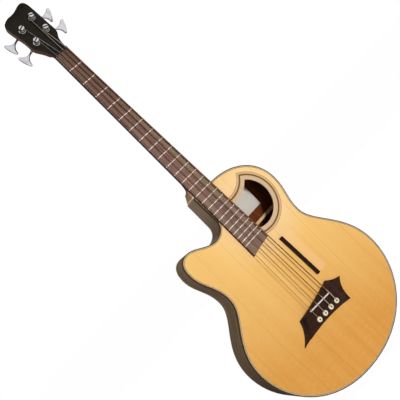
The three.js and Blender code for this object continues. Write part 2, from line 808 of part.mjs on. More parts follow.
// Where each string runs, from its ball end over the saddle and the nut to the windings on its post
function string_route(i) {
  const { name, radius, turns } = strings[i];
  const { side, up: post_up } = posts[name];
  const { across, height } = pin_places[i];
  const hole_offset = pin_row.hole_radius - clearance - radius;
  const in_hole = new THREE.Vector3(across, bridge_top, height + hole_offset);
  const over_saddle = new THREE.Vector3(
    across, bridge_top - saddle.stand_out - clearance - radius, saddle_height(across),
  );
  const knee = new THREE.Vector3(across, bridge_top - 2 * radius - clearance, in_hole.z);
  const after_knee = knee.clone().lerp(over_saddle, knee_share);
  const bend = new THREE.QuadraticBezierCurve3(in_hole, knee, after_knee);
  const ball = new THREE.Vector3(across, ball_back, in_hole.z);
  const route = [ball, ...bend.getPoints(knee_steps), over_saddle];

  const nut_across = string_across(i, nut_spacing);
  const over_nut = new THREE.Vector3(
    nut_across, fret_plane - string_height_at_nut - radius, nut_height + nut_thickness / 2,
  );
  route.push(over_nut);

  const coil_radius = post.waist + clearance + radius;
  const arrive_y = -(bushing.flange_height + 2 * clearance + radius);
  const climb = 2 * radius + turn_gap;
  const start = over_nut.clone().applyMatrix4(head.matrixWorld.clone().invert());
  const to_post = new THREE.Vector2(side * post_across - start.x, post_up - start.z);
  const lean = Math.asin(coil_radius / to_post.length());
  const heading = Math.atan2(to_post.y, to_post.x) + side * lean;
  const first_angle = heading + side * Math.PI / 2;
  const coil_steps = Math.round(turns * coil_turn_steps);
  for (let step = 0; step <= coil_steps; step += 1) {
    const angle = first_angle - side * 2 * Math.PI * step / coil_turn_steps;
    route.push(new THREE.Vector3(
      side * post_across + coil_radius * Math.cos(angle),
      arrive_y - climb * step / coil_turn_steps,
      post_up + coil_radius * Math.sin(angle),
    ).applyMatrix4(head.matrixWorld));
  }
  return route;
}

// Least distance between turns of a route, less the string's own thickness
function least_gap(route, radius) {
  let least = Infinity;
  for (let i = 0; i < route.length; i += 1) {
    for (let j = i + coil_turn_steps / 2; j < route.length; j += 1) {
      least = Math.min(least, route[i].distanceTo(route[j]) - 2 * radius);
    }
  }
  return least;
}

function add_strings() {
  strings.forEach(({ name, radius }, i) => {
    const route = string_route(i);
    console.log(`string_${name}: least gap to itself ${least_gap(route, radius).toFixed(2)} mm`);
    const { x, z } = route[0];
    const ball = bar_along_y(ball_end.radius, ball_back - ball_end.length, ball_back, x, z, round_sides / 2);
    place(`string_${name}`, tube(route, radius).add(ball), string_metal);
  });
}

function string_clearances() {
  return join(...strings.map(({ radius }, i) => tube(string_route(i), radius + clearance)));
}

function add_nut() {
  const nut_top = fret_plane - string_height_at_nut - strings[0].radius;
  const section = rounded_rectangle(-nut_width / 2, nut_width / 2, nut_top, soundboard_face, nut_corner);
  const block = new THREE.ExtrudeGeometry(section, {
    depth: nut_thickness, bevelEnabled: false, curveSegments: corner_steps,
  });
  block.translate(0, 0, nut_height);
  place('nut', to_solid(block).subtract(string_clearances()), black_wood);
}

// A bridge pin with a domed head and a groove that clears its string
function add_bridge_pins(clearances) {
  const profile = new THREE.Path();
  profile.moveTo(0, pin_tip);
  profile.lineTo(bridge_pin.tip_radius, pin_tip);
  profile.lineTo(bridge_pin.shaft_radius, bridge_top);
  profile.lineTo(bridge_pin.head_radius, bridge_top);
  profile.lineTo(bridge_pin.head_radius, bridge_top - bridge_pin.head_height / 2);
  profile.quadraticCurveTo(
    bridge_pin.head_radius, bridge_top - bridge_pin.head_height, 0, bridge_top - bridge_pin.head_height,
  );
  strings.forEach(({ name }, i) => {
    const { across, height } = pin_places[i];
    const turned = new THREE.LatheGeometry(profile.getPoints(corner_steps).reverse(), slim_sides);
    turned.translate(across, 0, height);
    place(`bridge_pin_${name}`, to_solid(turned).subtract(clearances), cream_plastic);
  });
}

// Outline of the bridge: hollow edges that pass through their middles
function bridge_outline() {
  const outline = new THREE.Shape();
  const corners = bridge_corners.concat([bridge_corners[0]]);
  corners.forEach(([x, past_scale], i) => {
    if (i === 0) {
      outline.moveTo(x, scale_up(past_scale));
      return;
    }
    const [before_x, before, middle_x, middle] = corners[i - 1];
    const pull_x = 2 * middle_x - (before_x + x) / 2;
    const pull = 2 * middle - (before + past_scale) / 2;
    outline.quadraticCurveTo(pull_x, scale_up(pull), x, scale_up(past_scale));
  });
  return outline;
}

// The bridge seen from its tail: high in the middle, with a hollow slope down to each wing
function bridge_elevation() {
  const wing_top = soundboard_face - wing_height;
  const reach = lower_bout.half_width;
  const [thin_low, thin_high] = wing_slopes.thin_side;
  const [thick_high, thick_low] = wing_slopes.thick_side;
  const elevation = new THREE.Shape();
  elevation.moveTo(-reach, soundboard_face);
  elevation.lineTo(-reach, wing_top);
  elevation.lineTo(thin_low, wing_top);
  elevation.quadraticCurveTo(thin_high, wing_top, thin_high, bridge_top);
  elevation.lineTo(thick_high, bridge_top);
  elevation.quadraticCurveTo(thick_high, wing_top, thick_low, wing_top);
  elevation.lineTo(reach, wing_top);
  elevation.lineTo(reach, soundboard_face);
  return to_solid(new THREE.ExtrudeGeometry(elevation, {
    depth: nut_height, bevelEnabled: false, curveSegments: small_curve_steps,
  }));
}

// What is taken off above the slope at the bridge's tail edge
function bridge_rear_cut() {
  const wing_top = soundboard_face - wing_height;
  const reach = lower_bout.half_width;
  const slope_start = scale_up(bridge_rear_slope.start);
  const slope_end = scale_up(bridge_rear_slope.end);
  const rear = new THREE.Shape();
  rear.moveTo(bridge_top, slope_start);
  rear.lineTo(wing_top, slope_end);
  rear.lineTo(wing_top, slope_end - 2 * overrun);
  rear.lineTo(bridge_top - overrun, slope_end - 2 * overrun);
  rear.lineTo(bridge_top - overrun, slope_start);
  // The shape's x becomes y, its y becomes z and its depth runs along x
  const geometry = new THREE.ExtrudeGeometry(rear, { depth: 2 * reach, bevelEnabled: false });
  const turn = new THREE.Matrix4().makeBasis(
    new THREE.Vector3(0, 1, 0), new THREE.Vector3(0, 0, 1), new THREE.Vector3(1, 0, 0),
  );
  geometry.applyMatrix4(turn);
  geometry.translate(-reach, 0, 0);
  return to_solid(geometry);
}

// The saddle, or with a clearance the slot that it stands in
function saddle_bar(grown) {
  const slant = Math.atan2(saddle.thick_end - saddle.thin_end, saddle.length);
  const top = bridge_top - saddle.stand_out;
  const height = saddle.stand_out + saddle.slot_depth + grown;
  const geometry = new THREE.BoxGeometry(saddle.length + 2 * grown, height, saddle.thickness + 2 * grown);
  geometry.translate(0, top + height / 2, 0);
  geometry.rotateY(slant);
  geometry.translate(0, 0, scale_up((saddle.thin_end + saddle.thick_end) / 2));
  return to_solid(geometry);
}

function add_bridge() {
  const bridge = plate_solid(bridge_outline(), bridge_top, bridge_height, small_curve_steps)
    .intersect(bridge_elevation())
    .subtract(bridge_rear_cut())
    .subtract(saddle_bar(clearance))
    .subtract(pin_holes(bridge_top, soundboard_face));
  place('bridge', bridge, bridge_wood);
  place('saddle', saddle_bar(0), bone);
}

function add_thumb_rest() {
  const { width, length, height, corner } = thumb_rest;
  const outline = rounded_rectangle(-width / 2, width / 2, -length / 2, length / 2, corner);
  const bar = plate(outline, 0, height, corner_steps);
  bar.rotateY(thumb_rest.lean);
  const mesh = place('thumb_rest', bar, bridge_wood);
  mesh.position.set(thumb_rest.across, soundboard_face - height, scale_up(thumb_rest.past_scale));
}

function add_end_pin() {
  const { face_radius, waist_radius, base_radius, shaft_radius, rim, base, chamfer, flare, reach } = end_pin;
  const seat = pin_stand_out - clearance;
  const profile = [
    [0, 0], [face_radius - chamfer, 0], [face_radius, chamfer], [face_radius, rim],
    [waist_radius, rim + flare], [waist_radius, seat - base - chamfer],
    [base_radius, seat - base], [base_radius, seat],
    [shaft_radius, seat], [shaft_radius, seat + reach], [0, seat + reach],
  ].map(([radius, along]) => new THREE.Vector2(radius, along));
  const geometry = new THREE.LatheGeometry(profile, slim_sides);
  geometry.rotateX(Math.PI / 2);
  place('end_pin', geometry, chrome);
}

// The worm's thread: a ridge swept round the shaft. Half way along, the ridge stands on the wheel's side, where
// the wheel has a gap
function worm_thread() {
  const half_root = tooth_width * (1 + tooth_lean_share) / 2;
  const half_tip = tooth_width * (1 - tooth_lean_share) / 2;
  const inner = worm_root_radius - clearance;
  const rings = [];
  for (let step = 0; step <= worm_turns * worm_steps; step += 1) {
    const turned = step / worm_steps - worm_turns / 2;
    const angle = 2 * Math.PI * turned;
    const point = (radius, offset) => new THREE.Vector3(
      thread_pitch * turned + offset,
      shaft_depth + radius * Math.sin(angle),
      centre_distance - radius * Math.cos(angle),
    );
    rings.push([
      point(inner, -half_root), point(worm_outer_radius, -half_tip),
      point(worm_outer_radius, half_tip), point(inner, half_root),
    ]);
  }
  return loft(rings);
}

// A wheel with slanted teeth that follow the worm's thread; a gap faces the worm
function worm_wheel() {
  const lead_angle = Math.atan2(thread_pitch, 2 * Math.PI * worm_pitch_radius);
  const tip = tooth_width * (1 - tooth_lean_share) / 2 / tooth_outer_radius;
  const root = tooth_width * (1 + tooth_lean_share) / 2 / tooth_root_radius;
  const corners = [
    [tooth_root_radius, -root], [tooth_outer_radius, -tip],
    [tooth_outer_radius, tip], [tooth_root_radius, root],
  ];
  const rings = [wheel_front, wheel_front + wheel_width].map((y) => {
    const twist = Math.tan(lead_angle) * (y - shaft_depth) / wheel_pitch_radius;
    const ring = [];
    for (let tooth = 0; tooth < wheel_teeth; tooth += 1) {
      const middle = 2 * Math.PI * (tooth + 0.5) / wheel_teeth + twist;
      for (const [radius, offset] of corners) {
        const angle = middle + offset;
        ring.push(new THREE.Vector3(radius * Math.sin(angle), y, radius * Math.cos(angle)));
      }
    }
    return ring;
  });
  return loft(rings);
}

function tuner_post() {
  const { radius, waist, crown, waist_top, top, bore, bore_depth, flare, chamfer } = post;
  const wheel_rear = wheel_front + wheel_width;
  const flange_front = -bushing.flange_height - clearance;
  const profile = [
    [0, wheel_rear + wheel_screw.height], [wheel_screw.radius, wheel_rear + wheel_screw.height],
    [wheel_screw.radius, wheel_rear - wheel_screw.sunk], [radius, wheel_rear - wheel_screw.sunk],
    [radius, flange_front], [waist, flange_front - clearance], [waist, -waist_top],
    [crown, -waist_top - flare], [crown, -top + chamfer], [crown - chamfer, -top], [0, -top],
  ].map(([x, y]) => new THREE.Vector2(x, y));
  const slot = box_solid(
    -crown - overrun, crown + overrun, -top - overrun, -top + post_slot.depth,
    -post_slot.width / 2, post_slot.width / 2,
  );
  return to_solid(new THREE.LatheGeometry(profile.reverse(), slim_sides))
    .subtract(slot)
    .subtract(bar_along_y(bore, -top - overrun, -top + bore_depth))
    .add(worm_wheel());
}

// One bearing ear of the base plate, in which the key's shaft runs
function bearing_ear(along) {
  const { half_width: half, thickness } = bearing;
  const foot = base_plate_back - base_plate.thickness / 2;
  const shape = new THREE.Shape();
  shape.moveTo(centre_distance - half, foot);
  shape.lineTo(centre_distance + half, foot);
  shape.lineTo(centre_distance + half, shaft_depth);
  shape.absarc(centre_distance, shaft_depth, half, 0, Math.PI, false);
  const geometry = new THREE.ExtrudeGeometry(shape, {
    depth: thickness, bevelEnabled: false, curveSegments: corner_steps,
  });
  // The shape's x becomes z, its y stays and its depth runs along x
  geometry.rotateY(-Math.PI / 2);
  geometry.translate(along + thickness / 2, 0, 0);
  return to_solid(geometry);
}

function tuner_plate() {
  const { left, right, bottom, top, corner, thickness } = base_plate;
  const outline = rounded_rectangle(left, right, bottom, top, corner);
  const sheet = plate_solid(outline, base_plate_back - thickness, thickness, corner_steps);
  const front = -clearance - bushing.flange_height;
  const sleeve = bar_along_y(bushing.outer, front, base_plate_back - thickness / 2);
  const flange = bar_along_y(bushing.flange, front, -clearance);
  const reach = bearing.centre + overrun;
  return join(sheet, bearing_ear(-bearing.centre), bearing_ear(bearing.centre), sleeve, flange)
    .subtract(bar_along_y(bushing.inner, -overrun, base_plate_back + overrun))
    .subtract(bar_along_x(bearing.hole_radius, -reach, reach, shaft_depth, centre_distance));
}

// The key's paddle, turned about its shaft to where the photograph shows it
function key_paddle(rest_turn) {
  const half = smooth_outline(paddle_knots, small_curve_steps);
  const other = half.slice(0, -1).reverse().map((point) => new THREE.Vector2(point.x, -point.y));
  const rounding = paddle_thickness / 4;
  const paddle = new THREE.ExtrudeGeometry(new THREE.Shape([...half, ...other]), {
    depth: 2 * rounding, bevelEnabled: true, bevelThickness: rounding, bevelSize: rounding,
    bevelSegments: 1, bevelOffset: -rounding,
  });
  paddle.translate(0, 0, -rounding);
  paddle.rotateX(Math.PI / 2 + rest_turn);
  return paddle;
}

function tuner_key(rest_turn) {
  const { past_bearing, end, neck_radius, end_radius, tip_radius, tip } = key_shaft;
  const start = -bearing.centre - past_bearing;
  const collar_end = key_collar.start + key_collar.length;
  const profile = [
    [0, start], [worm_root_radius, start], [worm_root_radius, key_collar.start],
    [key_collar.radius, key_collar.start], [key_collar.radius, collar_end],
    [neck_radius, collar_end + key_collar.taper], [end_radius, end], [tip_radius, end + tip], [0, end + tip],
  ].map(([radius, along]) => new THREE.Vector2(radius, along));
  const shaft = new THREE.LatheGeometry(profile, slim_sides);
  shaft.rotateZ(-Math.PI / 2);
  const paddle = key_paddle(rest_turn);
  for (const geometry of [shaft, paddle]) geometry.translate(0, shaft_depth, centre_distance);
  return join(to_solid(shaft), worm_thread(), to_solid(paddle));
}

function add_tuners() {
  for (const [name, { side, up: height }] of Object.entries(posts)) {
    const machine = new THREE.Group();
    machine.position.set(side * post_across, 0, height);
    machine.rotation.y = side * splay;
    head.add(machine);
    const handed = (solid) => (side > 0 ? to_geometry(solid) : mirrored(to_geometry(solid)));
    place(`tuner_plate_${name}`, handed(tuner_plate()), chrome, machine);
    place(`tuner_post_${name}`, handed(tuner_post()), chrome, machine);
    place(`tuner_key_${name}`, handed(tuner_key(key_rest_turn[side])), chrome, machine);
  }
}

add_body();
add_bracing();
add_neck();
add_rod_cover();
add_fingerboard();
add_strings();
add_nut();
add_bridge();
add_bridge_pins(string_clearances());
add_thumb_rest();
add_end_pin();
add_tuners();

export default guitar;
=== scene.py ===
import math

import bmesh
import bpy
from mathutils import Matrix, Vector
from mathutils.geometry import tessellate_polygon


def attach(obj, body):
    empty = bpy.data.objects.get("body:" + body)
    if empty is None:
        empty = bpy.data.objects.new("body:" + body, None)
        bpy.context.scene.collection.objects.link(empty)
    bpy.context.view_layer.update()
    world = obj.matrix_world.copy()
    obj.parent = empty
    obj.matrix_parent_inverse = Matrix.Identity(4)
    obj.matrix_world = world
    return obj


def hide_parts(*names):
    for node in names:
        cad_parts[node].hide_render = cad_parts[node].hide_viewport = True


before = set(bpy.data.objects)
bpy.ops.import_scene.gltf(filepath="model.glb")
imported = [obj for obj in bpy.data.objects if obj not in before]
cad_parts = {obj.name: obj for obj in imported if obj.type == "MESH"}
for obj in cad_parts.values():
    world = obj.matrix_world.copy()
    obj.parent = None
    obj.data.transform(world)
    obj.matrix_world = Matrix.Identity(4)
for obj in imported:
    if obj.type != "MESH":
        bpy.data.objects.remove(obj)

bl_info = {
    "name": "Acoustic bass guitar",
    "version": (1, 0, 0),
    "blender": (4, 5, 0),
    "location": "View3D > Sidebar > Bass guitar",
    "description": "Dresses the packed solids of a left-handed acoustic bass guitar in fine shapes and finishes",
    "category": "Add Mesh",
}

# Lengths in the tables and in the calls that make shapes are millimetres; a mesh is made in metres.
# A height called from_nut is measured down the strings from the nut, as in the CAD source.
MM = 0.001
NUT_HEIGHT = 1018.0
TOP_FACE = -49.0
PLATE = 3.0
TOP_INNER_FACE = TOP_FACE + PLATE
BODY_START = 450.5
BODY_LENGTH = 554.5
DEPTH_AT_NECK = 66.0
DEPTH_AT_TAIL = 98.0
CLEARANCE = 0.3
# How far a cut runs past the face that it opens, and a depth behind everything
OVERRUN = 5.0
BEHIND = 60.0
# Steps of the rounding along a plate's edge
PLATE_EDGE_STEPS = 3
SIDE = 2.5
LINING = {"width": 6.0, "height": 12.0, "bevel": 0.35, "slim": 0.3}
TAIL_BLOCK = {"half_width": 32.0, "thickness": 18.0}
# Half the width, and the length, of the place that the linings leave free for the neck block
NECK_GAP = 36.0
SCALE = 813.0
FRET_COUNT = 24
FINGERBOARD = 7.25
BOARD_FACE = TOP_FACE - FINGERBOARD
CROWN = (2.7, 1.25)
FRET_PLANE = BOARD_FACE - CROWN[1]
NUT_WIDTH = 38.5
WIDTH_GROWTH = 18.46 / 609.75
BRIDGE_HEIGHT = 11.0
BRIDGE_FACE = TOP_FACE - BRIDGE_HEIGHT

# Knots of an outline: across, from_nut, heading in degrees, handle before and handle after
BODY_KNOTS = [
    (30, 450.5, 0, 0, 72),
    (153, 549, -90, 58, 41),
    (136.5, 642, -90, 39, 49),
    (216, 822, -90, 90, 90),
    (0, 1005, 180, 139, 139),
    (-216, 822, 90, 90, 84),
    (-142, 662, 90, 49, 42),
    (-167, 564, 90, 37, 14),
    (-136, 525, 0, 28, 24),
    (-64, 552, 0, 28, 16),
    (-30, 522, 90, 20, 0),
    (-30, 450.5, 90, 0, 0),
]
HOLE = (57.0, 551.0, 60.0)
BITE = (38.0, 446.0, 79.5)
HOLE_STRAIGHT_EDGE = 22.0
ROSETTE_STRAIGHT_EDGE = 24.0
ROSETTE = (19.5, 1.5)
# The pale line where the side meets the back, which leaves a gap on either side of the neck's tenon
BACK_LINE = {"height": 1.6, "thickness": 0.6, "gap": 2.3}
# The label's upper left corner, its cells, its gap from the back, its least lift and the height of its waves
LABEL = {"left": 20.0, "from_nut": 517.0, "columns": 24, "rows": 16, "gap": 0.05, "lift": 0.12, "wave": 0.1}
# Lines of the purfling from the binding inwards: name, finish and the share of the width where each ends
PURFLING = [("outer", "line_pale", 0.46), ("middle", "line_black", 0.74), ("inner", "line_pale", 1.0)]

# Stations of the neck: from_nut, added half width, depth and squareness
NECK_STATIONS = [
    (-4, 0, 14.2, 2.4),
    (4, 0, 14.8, 2.2),
    (30, 0, 15, 2.2),
    (230, 0, 16, 2.2),
    (405, 0, 17.2, 2.3),
    (418, 0.6, 18.5, 2.8),
    (426, 1.6, 21, 4),
    (429, 2.3, 28, 6),
    (430.5, 2.8, 37, 8),
    (433, 3.1, 42, 9),
    (437, 3.3, 47.5, 10),
    (442, 3.6, 54, 12),
    (446, 3.8, 60, 16),
    (450.2, 3.9, 66, 20),
]
NECK_ROOT = {
    "up": 22.0, "half_width": 20.6, "front": 5.0, "squareness": 7.0, "core_start": 12.0, "overlap": 1.7
}
# Rings that round off the headstock's foot: up the face, half width and squareness
FOOT_RINGS = [(-8.0, 20.2, 3.6), (12.0, 20.3, 3.6), (22.0, 26.5, 7.0), (40.0, 44.0, 20.0), (200.0, 60.0, 20.0)]
TENON_HALF_WIDTH = 23.7
# How far the way for the tenon reaches down the body
TENON_WAY = 8.0
NECK_BLOCK = (-27.2, 33.0, 485.0)
HEAD_DROP = 4.0
HEAD_TILT = math.atan(0.222)
HEAD_THICKNESS = 15.0
VENEER = 1.2
# Knots of the headstock: across, up the face, heading in degrees, handle before and handle after
HEAD_KNOTS = [
    (19.3, 0, 90, 0, 15),
    (29.5, 43, 52, 12, 7),
    (37.5, 68, 90, 13, 18),
    (41, 155, 90, 26, 10),
    (30, 173, 180, 7, 8),
    (8, 165, 205, 8, 8),
    (-14, 160, 184, 8, 8),
    (-33, 153, 212, 6, 6),
    (-41, 137, -90, 9, 16),
    (-37, 82, -90, 16, 10),
    (-37.2, 54, -84, 10, 8),
    (-19.3, 0, -90, 30, 0),
]
ROD_COVER = {"start": 11.0, "length": 42.0, "wide": 20.0, "narrow": 9.0, "thickness": 1.6, "corner": 3.0}
# End of the fingerboard: from_nut on either side, and how far it is hollowed
FINGERBOARD_END = (640.0, 631.5, 2.0)
DOTTED_FRETS = (3, 5, 7, 9, 12, 15, 17, 19, 21, 24)
NUT = (5.0, 2.4)
STRING_HEIGHT_AT_NUT = 0.9

# Corners and hollow edges of the bridge: across, from_nut, then the middle of the edge to the next corner
BRIDGE_CORNERS = [
    (-64, 812.8, -9, 807.4),
    (50, 798.4, 65, 809.6),
    (84.5, 818, 68, 840),
    (63.5, 870, -20, 856),
    (-101, 859.5, -77, 838),
]
BRIDGE_REAR_SLOPE = (850.0, 864.0)
WING_HEIGHT = 3.5
# Slopes between the bridge and its wings: across, from_nut, lean of the slope's line, then its foot and its top
WING_SLOPES = [(-62.0, 828.0, math.radians(28), -5.0, 8.0), (51.0, 840.0, 0.0, 7.0, -7.0)]
SADDLE = {"thickness": 3.2, "length": 67.0, "slot": 6.0, "stand_out": 2.5, "thin": 815.5, "thick": 821.0}
PIN_ROW = {"thin": 842.3, "thick": 845.5, "hole": 4.0}
PIN = {"head": 6.3, "height": 3.4, "shaft": 3.6, "tip": 3.0, "tip_y": -40.0}
THUMB_REST = {"width": 8.0, "length": 121.0, "height": 8.0, "across": 51.4, "from_nut": 716.0, "lean": -0.026}
# A paler band beside the thumb rest, a painted highlight
PAINTED_SHEEN_BAND = {"across": 70.0, "half_width": 13.0, "from_nut": 718.0, "half_length": 60.0}
END_PIN = {"face": 7.0, "waist": 4.5, "rim": 3.0, "base": 2.5, "stand_out": 13.0, "reach": 30.0, "hole": 4.8}

STRINGS = [("g", 0.57, 2.5), ("d", 0.83, 2.25), ("a", 1.08, 2.0), ("e", 1.33, 1.75)]
NUT_SPACING = 10.15
BRIDGE_SPACING = 20.5
BALL_Y = -34.0
HOLE_BEND_STEPS = 8
SPAN_STEPS = 12
NUT_POINT = HOLE_BEND_STEPS + 2 + SPAN_STEPS
TURN_GAP = 0.5

# Tuning machines: side of the headstock and height up its face
POSTS = {"g": (-1, 59.5), "d": (-1, 107.5), "a": (1, 120.5), "e": (1, 72.5)}
SPLAY = math.radians(21.5)
POST_ACROSS = 20.5
KEY_REST_TURN = {-1: math.radians(23), 1: math.radians(53)}
TEETH = 20
WHEEL_PITCH_RADIUS = 7.5
WORM = {"pitch": 3.1, "outer": 3.8, "root": 2.2, "turns": 3}
CENTRES = WHEEL_PITCH_RADIUS + WORM["pitch"]
THREAD_PITCH = 2 * math.pi * WHEEL_PITCH_RADIUS / TEETH
TOOTH_OUTER = CENTRES - WORM["root"] - CLEARANCE
TOOTH_ROOT = CENTRES - WORM["outer"] - CLEARANCE
TOOTH_WIDTH = THREAD_PITCH / 2 - CLEARANCE
TOOTH_LEAN = 0.22
WHEEL_WIDTH = 5.0
BASE_PLATE = {"thickness": 1.5, "left": -12.2, "right": 11.4, "bottom": -10.5, "top": 15.4}
PLATE_BACK = HEAD_THICKNESS + CLEARANCE + BASE_PLATE["thickness"]
SHAFT_DEPTH = PLATE_BACK + CLEARANCE + WORM["outer"]
BEARING = {"centre": 9.2, "thickness": 2.4, "half": 4.2}
BUSHING = {"inner": 4.9, "outer": 6.4, "flange": 8.5, "height": 2.0}
POST = {"radius": 4.6, "waist": 5.0, "crown": 6.5, "waist_top": 11.0, "top": 13.4, "bore": 1.9, "bore_depth": 9.0}
POST_SLOT = {"half_width": 1.5, "depth": 3.6}
WHEEL_FRONT = PLATE_BACK + 0.9
KEY_END = 27.0
KEY_COLLAR = (10.9, 3.3)
PADDLE_THICKNESS = 4.2
PADDLE_KNOTS = [
    (25, 2.3, 8, 0, 8),
    (41, 14, 62, 6, 2.5),
    (45, 17.2, 0, 2, 2),
    (48.3, 13.6, -82, 2.4, 5),
    (49.6, 0, -90, 6, 6),
]

# Dark cards round the headstock, behind and on the floor, in metres: across, in depth and up
CARDS = [
    ("card_left", (-0.45, -0.45), (-0.5, 0.2), (0.85, 1.45)),
    ("card_right", (0.45, 0.45), (-0.35, 0.2), (0.85, 1.45)),
    ("card_above", (-0.5, 0.5), (-0.2, 0.5), (1.45, 1.45)),
    ("card_below", (-0.4, 0.4), (0.0, 0.5), (0.9, 0.9)),
    ("card_back", (-1.6, 0.2), (1.2, 1.2), (0.0, 1.6)),
    ("card_floor", (-0.9, 0.9), (0.05, 1.2), (0.004, 0.004)),
]


def length(name, description, millimetres):
    """A length that the sidebar shows in the scene's own unit."""
    return bpy.props.FloatProperty(
        name=name, description=description, default=millimetres * MM, subtype="DISTANCE", precision=5
    )


def number_of(name, description, default, least):
    """How many sides or steps a shape has."""
    return bpy.props.IntProperty(name=name, description=description, default=default, min=least)


def amount(name, description, default, **units):
    """A number that is never negative, with its unit or its kind."""
    return bpy.props.FloatProperty(name=name, description=description, default=default, min=0, **units)


def frame_vector(name, description, default):
    """A place or a direction in the guitar's frame."""
    return bpy.props.FloatVectorProperty(name=name, description=description, default=default, subtype="XYZ")


def colour(name, description, red, green, blue):
    """A colour as it looks on the screen, in steps of 0 to 255."""
    shown = (red / 255, green / 255, blue / 255)
    return bpy.props.FloatVectorProperty(
        name=name, description=description, default=shown, subtype="COLOR_GAMMA", size=3, min=0, max=1
    )


class BassShapes(bpy.types.PropertyGroup):
    outline_steps: number_of("Outline steps", "Straight runs in each curve of an outline", 20, 4)
    round_sides: number_of("Round sides", "Sides of a turned piece", 40, 8)
    string_sides: number_of("String sides", "Sides of each string", 10, 5)
    binding_width: length("Binding width", "Width of the binding round the top", 2.4)
    binding_depth: length("Binding depth", "How far the binding reaches down the side", 6.0)
    purfling_width: length("Purfling width", "Width of the pale and dark lines beside the binding", 3.2)
    wood_rounding: length("Wood rounding", "Rounding of the neck's, headstock's and fingerboard's edges", 0.7)
    bridge_rounding: length("Bridge rounding", "Rounding of the bridge's edges", 0.7)
    metal_rounding: length("Metal rounding", "Rounding of the edges of plates and ears", 0.3)
    kerf_pitch: length("Kerf pitch", "Distance between the saw cuts of the lining", 6.0)
    kerf_width: length("Kerf width", "Width of each saw cut in the lining", 1.0)
    label_width: length("Label width", "Width of the bare paper label", 91.0)
    label_height: length("Label height", "Height of the bare paper label", 56.0)
    wrap_pitch: length("Wrap pitch", "Distance between the turns of a string's winding wire", 0.45)
    dot_radius: length("Dot radius", "Radius of the position dots on the fingerboard's edge", 1.1)


class BassColours(bpy.types.PropertyGroup):
    spruce: colour("Spruce", "Top of the body", 243, 197, 117)
    # The deep spruce colour serves both the summer grain and the painted shade at the lower end of the top
    spruce_deep: colour("Spruce, deep", "Darker summer grain and the lower end of the top", 213, 142, 52)
    side_wood: colour("Side wood", "Sides and back of the body", 152, 128, 102)
    side_wood_dark: colour("Side wood, dark", "Dark lines of the sides and back", 96, 76, 58)
    inside_wood: colour("Inside wood", "Inner face of the back", 120, 62, 32)
    brace_wood: colour("Brace wood", "Braces, linings and blocks", 242, 200, 146)
    neck_wood: colour("Neck wood", "Neck and the headstock's edge", 112, 82, 70)
    neck_wood_dark: colour("Neck wood, dark", "Dark lines of the neck", 72, 50, 42)
    fingerboard: colour("Fingerboard", "Fingerboard's wood", 146, 118, 106)
    fingerboard_dark: colour("Fingerboard, dark", "Dark streaks of the fingerboard", 92, 66, 58)
    # Painted shade: a darker copy of the fingerboard's wood for its narrow side faces
    fingerboard_edge: colour("Fingerboard edge", "Narrow faces along the fingerboard", 72, 50, 42)
    bridge: colour("Bridge", "Bridge", 57, 31, 17)
    bridge_dark: colour("Bridge, dark", "Dark pores of the bridge", 28, 14, 8)
    lacquer: colour("Headstock lacquer", "Black face of the headstock", 26, 21, 15)
    binding: colour("Binding", "Binding round the top", 92, 68, 44)
    line_pale: colour("Pale line", "Pale lines of the purfling", 213, 184, 140)
    line_dark: colour("Dark line", "Dark lines of the rosette", 120, 82, 44)
    line_black: colour("Black line", "Black line of the purfling", 84, 60, 40)
    rosette_tan: colour("Rosette tan", "Wide bands of the rosette", 216, 186, 152)
    rosette_gold: colour("Rosette gold", "Outer band of the rosette", 214, 180, 134)
    bone: colour("Bone", "Saddle", 236, 222, 212)
    nut_black: colour("Nut", "Nut", 30, 28, 27)
    pin_cream: colour("Bridge pins", "Heads of the bridge pins", 240, 230, 202)
    paper: colour("Paper", "Bare label inside the body", 216, 211, 202)
    bronze: colour("Bronze", "Winding wire of the strings", 156, 98, 54)
    nickel: colour("Fret metal", "Frets", 250, 226, 214)
    chrome: colour("Chrome", "Tuning machines and end pin", 214, 212, 216)


class BassStage(bpy.types.PropertyGroup):
    camera_place: frame_vector("Camera place", "Where the camera stands", (-0.50586, -1.33602, 0.53820))
    camera_right: frame_vector("Camera right", "Direction of the picture's right edge", (0.65501, -0.23717, -0.71743))
    camera_up: frame_vector("Camera up", "Direction of the picture's upper edge", (0.66833, -0.26116, 0.69652))
    lens: amount("Lens", "Focal length on a sensor 36 mm wide", 54.386, subtype="DISTANCE_CAMERA")
    sky_strength: amount("Sky strength", "Light that comes from all round", 0.18)
    key_power: amount("Key power", "Power of the soft lamp in front", 47.8, unit="POWER")
    side_power: amount("Side power", "Power of the soft lamp on the left", 10.0, unit="POWER")
    back_power: amount("Back power", "Power of the large soft lamp behind", 24.0, unit="POWER")
    shadow_share: amount("Floor shadow", "Share of the shadow that the floor keeps", 0.15, max=1, subtype="FACTOR")
    floor_glow: amount("Floor glow", "Brightness that makes the lit floor just white", 1.13)


# Shader nodes


def linear(shown):
    """Screen colour to the linear colour that shaders use, with full opacity."""
    return tuple(c / 12.92 if c <= 0.04045 else ((c + 0.055) / 1.055) ** 2.4 for c in shown) + (1.0,)


def scaled(numbers, factor):
    """A darker shade of a colour, or a finer or coarser stretch of a noise."""
    return tuple(number * factor for number in numbers)


